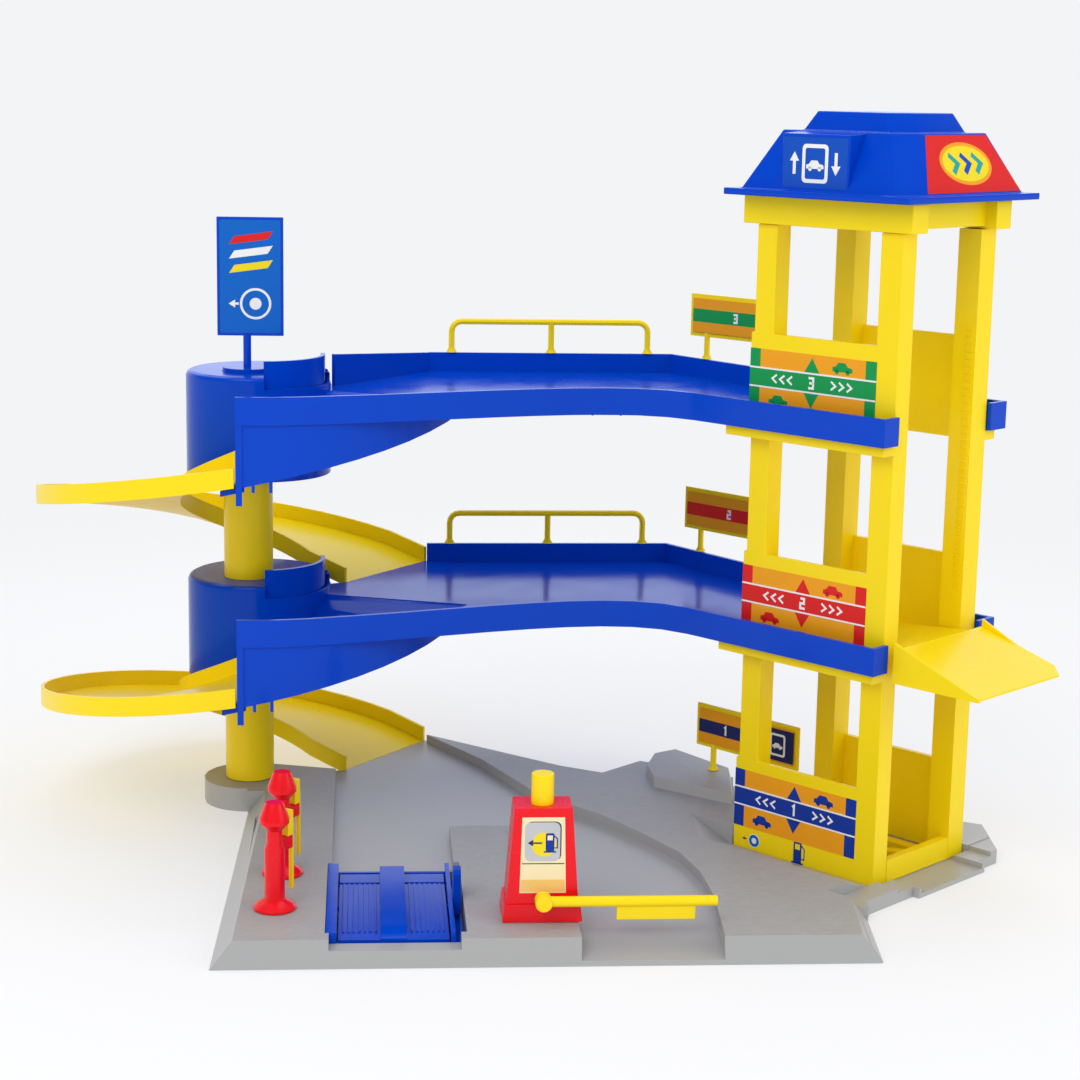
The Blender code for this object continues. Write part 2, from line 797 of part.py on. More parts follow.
def deck(level):
    """An upper deck: floor, rails, descent, drum and the arms beside the tower."""
    name = f"deck_level_{level}"
    floor = deck_floor(level)
    rail_top = floor + RAIL_RISE
    band_bottom = floor - BAND_DROP
    made = plate(name, ROOT, deck_outline(), floor - SLAB, floor)
    front = plate(name + "_front_rail", ROOT, ribbon(front_rail_path(), RAIL_WALL), band_bottom, rail_top)
    back = plate(name + "_back_rail", ROOT, ribbon(back_rail_path(), -RAIL_WALL), band_bottom, rail_top)
    join(made, front, back)
    add_descent(made, name, floor)
    add_hub(made, name, floor)
    if level == 2:
        add_ramp_rest(made, name, floor)
    else:
        closing = plate(
            name + "_closing_wall", ROOT, ribbon(arrival_line(-SHY, RAIL_WALL / 2), -RAIL_WALL),
            band_bottom + GAP, rail_top - GAP,
        )
        join(made, closing)
    return finish(made, BLUE)


def base_point(shares):
    """A point of the base from its shares of the width and of the front reach."""
    across, forward = shares
    return (BASE_LEFT + across * BASE_WIDTH, -forward * BASE_FRONT)


def column_side():
    """The base's edge round the column's footing, from the ramp's end to the left edge."""
    cx, cy = COLUMN_AT
    angles = [60.0 + 20.0 * i for i in range(8)]
    return [
        (cx + COLUMN_FOOTING * cos(radians(a)), cy + COLUMN_FOOTING * sin(radians(a))) for a in angles
    ]


def tower_ledge(out):
    """The base's edge along the tower's open side, this far out from it."""
    side = TOWER_WIDTH + LEDGE_TOP
    return [
        tower_point(-2 * LEDGE_OUT, -out), tower_point(CHANNEL_FROM, -out),
        tower_point(CHANNEL_FROM, -CHANNEL_OUT), tower_point(CHANNEL_TO, -CHANNEL_OUT),
        tower_point(CHANNEL_TO, -out), tower_point(side, -out),
        tower_point(side + 2 * LEDGE_OUT, LEDGE_OUT),
    ]


def base_outline():
    """The edge of the base's floor, anticlockwise from its front left corner."""
    rear = [base_point(shares) for shares in REAR_EDGE_SHARES]
    arrival_inner, arrival_outer = arrival_line(0.0)
    return (
        [(BASE_LEFT, -BASE_FRONT)]
        + [base_point(shares) for shares in RIGHT_FRONT_SHARES]
        + tower_ledge(LEDGE_OUT)
        + rear
        + [arrival_outer, arrival_inner]
        + column_side()
    )


def base_plateaus():
    """The raised kerbs of the base."""
    front = -BASE_FRONT
    top_front = front + KERB_SLOPE_FRONT
    kerb = [base_point(shares) for shares in KERB_LINE_SHARES]
    right = [base_point(shares) for shares in RIGHT_FRONT_SHARES]
    tower_edge = [tower_point(-SOCKET_MARGIN, 0.0), tower_point(-SOCKET_MARGIN, TOWER_DEPTH)]
    rear = [base_point(shares) for shares in REAR_EDGE_SHARES]
    right_ring = kerb + right + tower_edge + [rear[0], rear[1], rear[2], rear[3]]
    inset_right = [(right[0][0] - KERB_SLOPE_RIGHT, top_front), (right[1][0] - KERB_SLOPE_RIGHT, right[1][1])]
    top_kerb = kerb[:-1] + [(kerb[-1][0], top_front)]
    top_ring = top_kerb + inset_right + tower_edge + [rear[0], rear[1], rear[2], rear[3]]
    rings = [
        [(x, y, height) for x, y in ring] for ring, height in ((right_ring, 0.0), (top_ring, KERB_TOP))
    ]
    right_plateau = loft("base_right_kerb", ROOT, rings)
    left_end = LEFT_KERB_X / 10
    footing = column_side()
    bottom = [(BASE_LEFT, front), (LEFT_KERB_X, front), (LEFT_KERB_X, left_end)] + footing
    top = [
        (BASE_LEFT + KERB_SLOPE_LEFT, top_front), (LEFT_KERB_X, top_front), (LEFT_KERB_X, left_end)
    ] + footing
    rings = [[(x, y, 0.0) for x, y in bottom], [(x, y, KERB_TOP) for x, y in top]]
    left_plateau = loft("base_left_kerb", ROOT, rings)
    low_x, high_x = BOOTH_ISLAND_X
    booth = box("base_booth_island", ROOT, (low_x, front, 0.0), (high_x, BOOTH_ISLAND_BACK, KERB_TOP))
    return right_plateau, left_plateau, booth


def rear_island():
    """The raised block behind the tower that carries the lowest sign."""
    foot = [base_point(s) for s in ISLAND_FOOT_SHARES + ISLAND_FRONT_SHARES]
    top = [base_point(s) for s in ISLAND_TOP_SHARES + ISLAND_FRONT_TOP_SHARES]
    rings = [[(x, y, 0.0) for x, y in foot], [(x, y, ISLAND_TOP) for x, y in top]]
    return loft("base_rear_island", ROOT, rings)


def base_cutters():
    """The hollows of the base: tower socket, ledges, platform recess and barrier lane."""
    above = ISLAND_TOP + OVERRUN
    margin = SOCKET_MARGIN
    out = CHANNEL_OUT + OVERRUN
    socket = box(
        "base_tower_socket", TOWER, (-margin, -GAP, FRAME_FOOT - GAP),
        (TOWER_WIDTH + margin, TOWER_DEPTH + margin, above),
    )
    ledge = box(
        "base_ledge_step", TOWER, (-2 * margin, -out, LEDGE_LOW),
        (TOWER_WIDTH + 2 * margin, 0.0, above),
    )
    side = box(
        "base_ledge_level", TOWER, (-3 * LEDGE_OUT, -out, LEDGE_TOP),
        (TOWER_WIDTH + 3 * LEDGE_OUT, -SHY, above),
    )
    channel = box(
        "base_flap_channel", TOWER, (CHANNEL_FROM + WALL, -out, CHANNEL_TOP), (CHANNEL_TO - WALL, WALL, above)
    )
    recess = box(
        "base_platform_recess", ROOT,
        (RECESS_X[0], RECESS_Y[0], RECESS_FLOOR), (RECESS_X[1], RECESS_Y[1], above),
    )
    lane_left, lane_right = BOOTH_ISLAND_X[1], base_point(KERB_LINE_SHARES[-1])[0]
    exit_top = -BASE_FRONT + LANE_EXIT
    low = LANE_TOP - LANE_EXIT_DROP
    outline = (
        (-BASE_FRONT - OVERRUN, low), (exit_top, LANE_TOP), (exit_top, above), (-BASE_FRONT - OVERRUN, above)
    )
    lane = side_prism("base_lane_exit", ROOT, outline, lane_left, lane_right)
    return socket, ledge, side, channel, recess, lane


def base_pockets():
    """The hollows under the base, which leave its floor as a ribbed shell."""
    front = -BASE_FRONT + 2 * SHELL
    roof = KERB_TOP - POCKET_ROOF
    lane_roof = LANE_TOP - POCKET_ROOF
    below = -OVERRUN
    left = BASE_LEFT + KERB_SLOPE_LEFT + SHELL
    kerb_right = RECESS_X[0] - SHELL
    middle = (RECESS_Y[0] + RECESS_Y[1]) / 2
    back = RECESS_Y[1] + SHELL
    booth_left, booth_right = BOOTH_ISLAND_X
    recess_right = RECESS_X[1] + SHELL
    lane_right = base_point(KERB_LINE_SHARES[5])[0] - SHELL
    kerb_x = base_point(KERB_LINE_SHARES[-2])[0] + SHELL
    right = base_point(RIGHT_FRONT_SHARES[0])[0] - KERB_SLOPE_RIGHT - SHELL
    plateau_back = base_point(RIGHT_FRONT_SHARES[1])[1]
    lane_middle = middle / 2
    pockets = (
        ("left_front", (left, front), (kerb_right, middle), roof),
        ("left_middle", (left, middle + SHELL), (kerb_right, middle / 3), roof),
        ("lane_back", (LEFT_KERB_X + SHELL, back), (booth_left - SHELL, lane_middle), lane_roof),
        ("lane_rear", (LEFT_KERB_X + SHELL, lane_middle + SHELL), (booth_left - SHELL, 0.0), lane_roof),
        ("booth_front", (recess_right, front), (booth_right - SHELL, middle), roof),
        ("booth_back", (recess_right, middle + SHELL), (booth_right - SHELL, back + middle / 5), roof),
        ("barrier_lane", (booth_right + SHELL, front + LANE_EXIT), (lane_right, back), lane_roof),
        ("right_front", (kerb_x, front), (right, plateau_back - SHELL), roof),
    )
    return [
        box(f"base_pocket_{name}", ROOT, (*low, below), (*high, pocket_roof))
        for name, low, high, pocket_roof in pockets
    ]


def base():
    """The grey base with its kerbs, lanes and sockets."""
    made = plate("base_plate", ROOT, base_outline(), 0.0, LANE_TOP)
    join(made, *base_plateaus())
    join(made, rear_island())
    add_ramp_rest(made, "base", LANE_TOP)
    cut(made, *base_cutters())
    cut(made, *base_pockets())
    return finish(made, GREY)


def column(name, bottom, top):
    """A hollow column segment, open below."""
    stand = empty(name + "_axis", ROOT, at_column(0.0), 0.0)
    inner = COLUMN_RADIUS - WALL
    profile = (
        (0.0, top), (COLUMN_RADIUS, top), (COLUMN_RADIUS, bottom),
        (inner, bottom), (inner, top - WALL), (0.0, top - WALL),
    )
    return finish(turned(name, stand, profile), YELLOW)


def columns():
    """The two segments that carry the drums."""
    hub_2 = deck_floor(2) + RAIL_RISE - HUB_BELOW_RAIL
    hub_3 = deck_floor(3) + RAIL_RISE - HUB_BELOW_RAIL
    below_web = COLUMN_SEAT_DEPTH + SOCKET_WEB + GAP
    column("column_lower", KERB_TOP + GAP, hub_2 - below_web)
    column("column_upper", hub_2 - COLUMN_SEAT_DEPTH + GAP, hub_3 - below_web)


def railing_point(x):
    """Where a railing post stands on the back rail."""
    start, kink = back_rail_path()[:2]
    share = (x - start[0]) / (kink[0] - start[0])
    return (x, start[1] + (kink[1] - start[1]) * share - RAIL_WALL / 2)


def railing(level):
    """A yellow handrail on three posts."""
    name = f"railing_level_{level}"
    foot = deck_floor(level) + RAIL_RISE + GAP
    bar = foot + RAILING_RISE
    first, middle, last = [railing_point(x) for x in RAILING_X]
    bend = RAILING_BEND
    steps = 4
    path = [(*first, foot)]
    for i in range(steps + 1):
        angle = i / steps * pi / 2
        path.append((first[0] + bend * (1 - cos(angle)), first[1], bar - bend * (1 - sin(angle))))
    for i in range(steps, -1, -1):
        angle = i / steps * pi / 2
        path.append((last[0] - bend * (1 - cos(angle)), last[1], bar - bend * (1 - sin(angle))))
    path.append((*last, foot))
    made = tube(name, ROOT, path, RAILING_ROD)
    join(made, rod(name + "_middle_post", ROOT, (*middle, foot), (*middle, bar), RAILING_ROD))
    for number, place in enumerate((first, middle, last), 1):
        shoe = cone(
            f"{name}_foot_{number}", ROOT, (*place, foot), (*place, foot + FOOT_HEIGHT),
            FOOT_RADIUS, RAILING_ROD / 2,
        )
        join(made, shoe)
    return finish(made, YELLOW)


def level_sign(level):
    """A level's name board on its post."""
    name = f"level_{level}_sign"
    across, along = LOW_SIGN_AT if level == 1 else HIGH_SIGN_AT
    length = LOW_SIGN_LENGTH if level == 1 else HIGH_SIGN_LENGTH
    foot = GAP + (ISLAND_TOP if level == 1 else deck_floor(level) + RAIL_RISE)
    bottom = foot + SIGN_BOARD_RISE
    half = SIGN_BOARD_THICK / 2
    far = along + SIGN_PAST_POST
    made = box(
        name, TOWER, (across - half, far - length, bottom), (across + half, far, bottom + SIGN_BOARD_HEIGHT)
    )
    post = rod(
        name + "_post", TOWER, (across, along, foot), (across, along, bottom + SIGN_BOARD_HEIGHT / 2),
        SIGN_POST_RADIUS,
    )
    shoe = cone(
        name + "_foot", TOWER, (across, along, foot), (across, along, foot + FOOT_HEIGHT),
        FOOT_RADIUS, SIGN_POST_RADIUS / 2,
    )
    return finish(join(made, post, shoe), YELLOW)


def parking_sign():
    """The tall sign above the highest drum."""
    foot = deck_floor(3) + RAIL_RISE - HUB_BELOW_RAIL - COLUMN_SEAT_DEPTH + GAP
    bottom = foot + COLUMN_SEAT_DEPTH + PARKING_RISE
    x, y = COLUMN_AT
    left = x - PARKING_WIDTH / 2 + PARKING_SHIFT
    made = box(
        "parking_sign", ROOT, (left, y - PARKING_THICK / 2, bottom),
        (left + PARKING_WIDTH, y + PARKING_THICK / 2, bottom + PARKING_HEIGHT),
    )
    post = rod("parking_sign_post", ROOT, at_column(foot), at_column(bottom + PARKING_RISE), PARKING_POST)
    plug = rod(
        "parking_sign_plug", ROOT, at_column(foot), at_column(foot + COLUMN_SEAT_DEPTH + WALL),
        COLUMN_RADIUS, ROUND_SIDES,
    )
    return finish(join(made, post, plug), BLUE)


def frame_panels(name, near, far):
    """The wide panels of a side frame, one for each level."""
    bottoms = [FRAME_FOOT]
    tops = [FRAME_FOOT + PANEL_RISE + LANE_TOP - FRAME_FOOT]
    for level in (2, 3):
        bottoms.append(deck_floor(level) - PANEL_DROP)
        tops.append(deck_floor(level) + PANEL_RISE)
    length = (POST_NEAR[1] - OVERRUN, TOWER_DEPTH)
    return [
        box(f"{name}_panel_{number}", TOWER, (near, length[0], bottom), (far, length[1], top))
        for number, (bottom, top) in enumerate(zip(bottoms, tops), 1)
    ]


def frame_ledges(name, near, far):
    """The ledges on which the decks' arms lie."""
    return [
        box(
            f"{name}_ledge_{level}", TOWER, (near, POST_NEAR[0], deck_floor(level) - PANEL_DROP),
            (far, LEDGE_LENGTH, deck_floor(level) - BAND_DROP - GAP),
        )
        for level in (2, 3)
    ]


def side_frame(name, near, far, outside):
    """Two posts with the panels and ledges on their outer side."""
    made = box(name, TOWER, (near, POST_NEAR[0], FRAME_FOOT), (far, POST_NEAR[1], FRAME_TOP - GAP))
    other = box(
        name + "_far_post", TOWER, (near, POST_FAR[0], FRAME_FOOT), (far, POST_FAR[1], FRAME_TOP - GAP)
    )
    inward = PANEL_THICK if outside == near else -PANEL_THICK
    outward = -LEDGE_REACH if outside == near else LEDGE_REACH
    panels = frame_panels(name, *sorted((outside, outside + inward)))
    ledges = frame_ledges(name, *sorted((outside + inward / 2, outside + outward)))
    join(made, panels[0], other, *panels[1:], *ledges)
    return made


def rack():
    """The row of small teeth beside which the lift slides."""
    face = TOWER_WIDTH - BACK_POST_WIDTH
    count = int((RACK_TOP - RACK_BOTTOM) / RACK_PITCH)
    root = face + RACK_TOOTH
    outline = [(root, RACK_BOTTOM)]
    for i in range(count):
        bottom = RACK_BOTTOM + i * RACK_PITCH
        outline.append((face, bottom + RACK_PITCH / 4))
        outline.append((face - RACK_TOOTH, bottom + RACK_PITCH))
        outline.append((face + RACK_TOOTH / 2, bottom + RACK_PITCH))
    outline.append((root, RACK_BOTTOM + count * RACK_PITCH))
    rings = [
        [(x, y, z) for x, z in outline] for y in (RACK_FROM, RACK_FROM + RACK_WIDTH)
    ]
    return loft("tower_rack", TOWER, rings)


def tower_frames():
    """The two side frames of the lift tower."""
    front = side_frame("tower_frame_front", 0.0, POST_WIDTH, 0.0)
    back = side_frame("tower_frame_back", TOWER_WIDTH - BACK_POST_WIDTH, TOWER_WIDTH, TOWER_WIDTH)
    join(back, rack())
    finish(front, YELLOW)
    finish(back, YELLOW)


def tower_floor():
    """The sill and the cross-braced floor that tie the side frames together."""
    near = POST_WIDTH + GAP
    far = TOWER_WIDTH - BACK_POST_WIDTH - GAP
    low, high = POST_NEAR[0], POST_FAR[1]
    bar = FLOOR_BAR
    made = box("tower_floor", TOWER, (near, low, FRAME_FOOT), (far, low + SILL_WIDTH, SILL_TOP))
    rear = box("tower_floor_rear_bar", TOWER, (near, high - bar, FRAME_FOOT), (far, high, FLOOR_TOP))
    sides = [
        box(f"tower_floor_side_{i}", TOWER, (start, low, FRAME_FOOT), (start + bar, high, FLOOR_TOP))
        for i, start in enumerate((near, far - bar), 1)
    ]
    half = bar / 2
    across, along = far - near, high - low
    length = hypot(across, along)
    shift_x, shift_y = half * along / length, half * across / length
    braces = []
    for number, (start, end) in enumerate((((near, low), (far, high)), ((far, low), (near, high))), 1):
        sign = 1 if end[0] > start[0] else -1
        inset = Vector(((end[0] - start[0]) * half / across, (end[1] - start[1]) * half / along))
        a, b = Vector(start) + inset, Vector(end) - inset
        side = Vector((shift_x, -shift_y * sign))
        outline = [tuple(a + side), tuple(b + side), tuple(b - side), tuple(a - side)]
        top = FLOOR_TOP - GAP * number
        braces.append(plate(f"tower_floor_brace_{number}", TOWER, outline, FRAME_FOOT + GAP, top))
    join(made, rear, *sides, *braces)
    return finish(made, YELLOW)


def tower_crown():
    """The beams and lintels that tie the posts' tops."""
    side = CROWN_SIDE_REACH
    near_end, far_end = -CROWN_NEAR_REACH, TOWER_DEPTH + CROWN_FAR_REACH
    made = box(
        "tower_crown", TOWER, (-side, near_end, FRAME_TOP), (CROWN_BEAM - side, far_end, CROWN_TOP)
    )
    other = box(
        "tower_crown_far_beam", TOWER, (TOWER_WIDTH + side - CROWN_BEAM, near_end, FRAME_TOP),
        (TOWER_WIDTH + side, far_end, CROWN_TOP),
    )
    inside = CROWN_BEAM - side - OVERRUN
    lintels = [
        box(
            f"tower_crown_lintel_{i}", TOWER, (inside, start, LINTEL_BOTTOM),
            (TOWER_WIDTH - inside, start + LINTEL_THICK, CROWN_TOP - GAP),
        )
        for i, start in enumerate((POST_NEAR[0], POST_FAR[1] - LINTEL_THICK), 1)
    ]
    return finish(join(made, other, *lintels), YELLOW)


def chamfered(low, high, chamfer):
    """A rectangle with cut corners, anticlockwise."""
    (x0, y0), (x1, y1) = low, high
    return [
        (x0 + chamfer, y0), (x1 - chamfer, y0), (x1, y0 + chamfer), (x1, y1 - chamfer),
        (x1 - chamfer, y1), (x0 + chamfer, y1), (x0, y1 - chamfer), (x0, y0 + chamfer),
    ]


def roof_rings(shrink, drop, brim_top):
    """Rings of the roof's tiers, drawn in by shrink and lowered by drop."""
    x0, x1 = -ROOF_SIDE, TOWER_WIDTH + ROOF_SIDE
    y0, y1 = -ROOF_NEAR, ROOF_FAR
    inset, height = shrink, brim_top
    rings = []
    for step_in, rise, slope in zip(TIER_INSETS, TIER_RISES, TIER_SLOPES):
        inset += step_in
        for _ in range(2):
            chamfer = max(TIER_CHAMFER - inset / 4, GAP)
            outline = chamfered((x0 + inset, y0 + inset), (x1 - inset, y1 - inset), chamfer)
            rings.append([(x, y, height - drop) for x, y in outline])
            inset += slope
            height += rise
        inset -= slope
        height -= rise
    return rings


def roof():
    """The blue two-tiered roof: a hollow shell with a brim and a sign box on one slope."""
    bottom = CROWN_TOP + GAP
    brim_top = bottom + BRIM_THICK
    made = box(
        "roof", TOWER, (-ROOF_SIDE, -ROOF_NEAR, bottom), (TOWER_WIDTH + ROOF_SIDE, ROOF_FAR, brim_top)
    )
    outer = loft("roof_tiers", TOWER, roof_rings(0.0, OVERRUN / 2, brim_top))
    low = brim_top - OVERRUN / 2
    rise = TIER_RISES[0]
    x_foot = -ROOF_SIDE + TIER_INSETS[0]
    x_head = x_foot + TIER_SLOPES[0]
    face = x_foot + ROOF_SIGN_SET_BACK
    section = (
        (face, low), (x_head + WALL, low), (x_head + WALL, low + rise), (face, low + ROOF_SIGN_RISE)
    )
    rings = [[(x, y, z) for x, z in section] for y in (ROOF_SIGN_FROM, ROOF_SIGN_TO)]
    sign = loft("roof_sign_box", TOWER, rings)
    join(made, outer, sign)
    inner = loft("roof_hollow", TOWER, roof_rings(ROOF_WALL, ROOF_WALL + OVERRUN / 2, brim_top))
    first = TIER_INSETS[0] + ROOF_WALL
    mouth_outline = chamfered(
        (-ROOF_SIDE + first, -ROOF_NEAR + first), (TOWER_WIDTH + ROOF_SIDE - first, ROOF_FAR - first),
        TIER_CHAMFER / 2,
    )
    mouth = plate("roof_mouth", TOWER, mouth_outline, bottom - OVERRUN, brim_top - ROOF_WALL)
    cut(made, inner, mouth)
    return finish(made, BLUE)


def lift_platform():
    """The lift's platform with the flap that reaches out of the tower."""
    deck_2 = deck_floor(2)
    top = deck_2 + LIFT_TOP_OVER_DECK
    end_top = deck_2 + LIFT_END_OVER_DECK
    end = TOWER_DEPTH - LIFT_END_CLEARANCE
    root, reach = -FLAP_ROOT, -FLAP_REACH
    floor = LIFT_FLOOR
    near = POST_WIDTH + LIFT_SIDE_CLEARANCE
    far = TOWER_WIDTH - BACK_POST_WIDTH - RACK_TOOTH - LIFT_SIDE_CLEARANCE
    tip_top = top - FLAP_DROP
    bottom = top - FLAP_SKIRT
    join_at = root - OVERRUN / 2
    inner = ((join_at, top - floor), (end, end_top - floor), (end, end_top), (0.0, top), (join_at, top))
    made = side_prism("lift_platform", TOWER, inner, near, far)
    slab = ((reach, tip_top - GAP), (root, top - floor), (root, top), (reach, tip_top + floor / 2))
    flap = side_prism("lift_flap", TOWER, slab, 0.0, TOWER_WIDTH)
    side = ((reach, bottom), (root, bottom), (root, top - floor / 2), (reach, tip_top))
    skirts = [
        side_prism(f"lift_flap_skirt_{i}", TOWER, side, start, start + WALL)
        for i, start in enumerate((0.0, TOWER_WIDTH - WALL), 1)
    ]
    back_wall = box(
        "lift_flap_wall", TOWER, (0.0, root - WALL, bottom), (TOWER_WIDTH, root, top - floor / 2)
    )
    skirt_low = top - LIFT_SKIRT - floor - (top - end_top)
    rail = (
        (LIFT_SKIRT_FROM, skirt_low), (end, skirt_low), (end, end_top - floor / 2),
        (LIFT_SKIRT_FROM, top - floor),
    )
    rails = [
        side_prism(f"lift_rail_{i}", TOWER, rail, start, start + WALL)
        for i, start in enumerate((near, far - WALL), 1)
    ]
    join(made, flap, back_wall, *skirts, *rails)
    corner_x = TOWER_WIDTH - FLAP_CORNER
    over = OVERRUN
    outline = [
        (corner_x - over, reach - over), (TOWER_WIDTH + over, reach - over),
        (TOWER_WIDTH + over, reach + FLAP_CORNER + over),
    ]
    cut(made, plate("lift_flap_corner", TOWER, outline, bottom - over, top))
    return finish(made, YELLOW)


def booth_ring(width, depth, height):
    """A rectangle of the booth, whose front face leans with its depth."""
    middle = BOOTH_FACE + BOOTH_FOOT_DEPTH / 2
    half_x, half_y = width / 2, depth / 2
    corners = ((-1, -1), (1, -1), (1, 1), (-1, 1))
    return [(BOOTH_X + half_x * x, middle + half_y * y, height) for x, y in corners]


def booth():
    """The red booth: a tapered shell on a wider foot."""
    foot = KERB_TOP + GAP
    top = foot + BOOTH_HEIGHT
    shoulder = foot + BOOTH_BASE_HEIGHT
    made = loft("booth_body", ROOT, [
        booth_ring(BOOTH_BASE_WIDTH, BOOTH_BASE_DEPTH, foot),
        booth_ring(BOOTH_BASE_WIDTH - WALL, BOOTH_BASE_DEPTH - WALL, shoulder),
    ])
    body = loft("booth_tapered_body", ROOT, [
        booth_ring(BOOTH_FOOT_WIDTH, BOOTH_FOOT_DEPTH, foot + WALL),
        booth_ring(BOOTH_HEAD_WIDTH, BOOTH_HEAD_DEPTH, top),
    ])
    join(made, body)
    wall = 2 * BOOTH_WALL
    hollow = loft("booth_hollow", ROOT, [
        booth_ring(BOOTH_FOOT_WIDTH - wall, BOOTH_FOOT_DEPTH - wall, foot - OVERRUN),
        booth_ring(BOOTH_HEAD_WIDTH - wall, BOOTH_HEAD_DEPTH - wall, top - BOOTH_WALL),
    ])
    middle = BOOTH_FACE + BOOTH_FOOT_DEPTH / 2
    hole = rod(
        "booth_button_hole", ROOT,
        (BOOTH_X, middle, top - 2 * BOOTH_WALL), (BOOTH_X, middle, top + OVERRUN),
        BUTTON_RADIUS + GAP, ROUND_SIDES,
    )
    pivot = foot + ARM_PIVOT_RISE
    axle = rod(
        "booth_axle_hole", ROOT,
        (BOOTH_X, BOOTH_FACE - 2 * OVERRUN, pivot), (BOOTH_X, BOOTH_FACE + 3 * BOOTH_WALL, pivot),
        ARM_AXLE + GAP, ROUND_SIDES,
    )
    cut(made, hollow, hole, axle)
    return finish(made, RED)


def barrier_button():
    """The button on the booth that raises the barrier."""
    top = KERB_TOP + GAP + BOOTH_HEIGHT
    middle = BOOTH_FACE + BOOTH_FOOT_DEPTH / 2
    stand = empty("button_axis", ROOT, (BOOTH_X, middle, top), 0.0)
    flange_top = -BOOTH_WALL - GAP
    profile = (
        (0.0, BUTTON_RISE), (BUTTON_RADIUS - GAP, BUTTON_RISE), (BUTTON_RADIUS, BUTTON_RISE - 2 * GAP),
        (BUTTON_RADIUS, flange_top), (BUTTON_FLANGE, flange_top),
        (BUTTON_FLANGE, flange_top - BUTTON_FLANGE_THICK), (BUTTON_STEM, flange_top - BUTTON_FLANGE_THICK),
        (BUTTON_STEM, -BUTTON_STEM_DROP), (0.0, -BUTTON_STEM_DROP),
    )
    return finish(turned("barrier_button", stand, profile), YELLOW)


def barrier_arm():
    """The barrier's arm on its axle, with its hanging plate."""
    pivot = KERB_TOP + GAP + ARM_PIVOT_RISE
    front_face = BOOTH_FACE - (BOOTH_BASE_DEPTH - BOOTH_FOOT_DEPTH) / 2
    y = -ARM_BOSS
    stand = empty("barrier_axis", ROOT, (BOOTH_X, front_face - GAP, pivot), 0.0)
    made = rod("barrier_arm", stand, (0.0, y, 0.0), (ARM_LENGTH, y, 0.0), ARM_RADIUS)
    boss = rod("barrier_boss", stand, (0.0, -2 * ARM_BOSS, 0.0), (0.0, 0.0, 0.0), ARM_BOSS, ROUND_SIDES)
    axle = rod(
        "barrier_axle", stand, (0.0, -ARM_BOSS, 0.0), (0.0, ARM_AXLE_LENGTH, 0.0), ARM_AXLE, ROUND_SIDES
    )
    low = -ARM_PLATE_DROP
    half = ARM_PLATE_THICK / 2
    board = box("barrier_plate", stand, (ARM_PLATE_FROM, y - half, low), (ARM_PLATE_TO, y + half, 0.0))
    return finish(join(made, boss, axle, board), YELLOW)


def pump(side, place):
    """A red fuel pump on a round foot."""
    name = f"fuel_pump_{side}"
    stand = empty(name + "_axis", ROOT, (*place, KERB_TOP + GAP), 0.0)
    height = PUMP_HEIGHT - GAP
    shoulder = height * PUMP_SHOULDER_SHARE
    neck = height * PUMP_NECK_SHARE
    head = height * PUMP_HEAD_SHARE
    profile = (
        (0.0, height), (PUMP_HEAD * PUMP_HEAD_TOP_SHARE, height), (PUMP_HEAD, head),
        (PUMP_HEAD, head - PUMP_BASE_THICK), (PUMP_NECK, neck), (PUMP_NECK, shoulder),
        (PUMP_BODY, shoulder - PUMP_BASE_THICK), (PUMP_BODY, PUMP_BASE_THICK + WALL),
        (PUMP_BASE - WALL, PUMP_BASE_THICK), (PUMP_BASE, WALL / 2), (PUMP_BASE, 0.0), (0.0, 0.0),
    )
    made = turned(name, stand, profile, SMALL_SIDES)
    low, high = [height * share for share in PUMP_ARM_SHARES]
    reach = PUMP_HEAD + GAP + NOZZLE_WIDTH
    bracket = box(
        name + "_bracket", stand, (0.0, -PUMP_ARM_THICK, low), (reach, PUMP_ARM_THICK, high)
    )
    return finish(join(made, bracket), RED)


def pump_hose(side, place):
    """The moulded yellow hose and nozzle of a pump."""
    name = f"fuel_hose_{side}"
    stand = empty(name + "_axis", ROOT, (*place, KERB_TOP + GAP), 0.0)
    height = PUMP_HEIGHT - GAP
    high = height * PUMP_ARM_SHARES[1] + GAP
    low = height * HOSE_LOW_SHARE
    x = PUMP_HEAD + GAP + NOZZLE_WIDTH / 2
    made = box(
        name, stand, (x - NOZZLE_WIDTH / 2, -NOZZLE_DEPTH / 2, high),
        (x + NOZZLE_WIDTH / 2, NOZZLE_DEPTH / 2, high + NOZZLE_HEIGHT),
    )
    middle = high + NOZZLE_HEIGHT / 2
    edge = x + NOZZLE_WIDTH / 2
    out = edge + HOSE_RADIUS + GAP
    path = [
        (x, 0.0, middle), (edge, 0.0, middle), (out, 0.0, middle - HOSE_RADIUS),
        (out, 0.0, high), (out, 0.0, low),
    ]
    hose = tube(name + "_hose", stand, path, HOSE_RADIUS)
    return finish(join(made, hose), YELLOW)


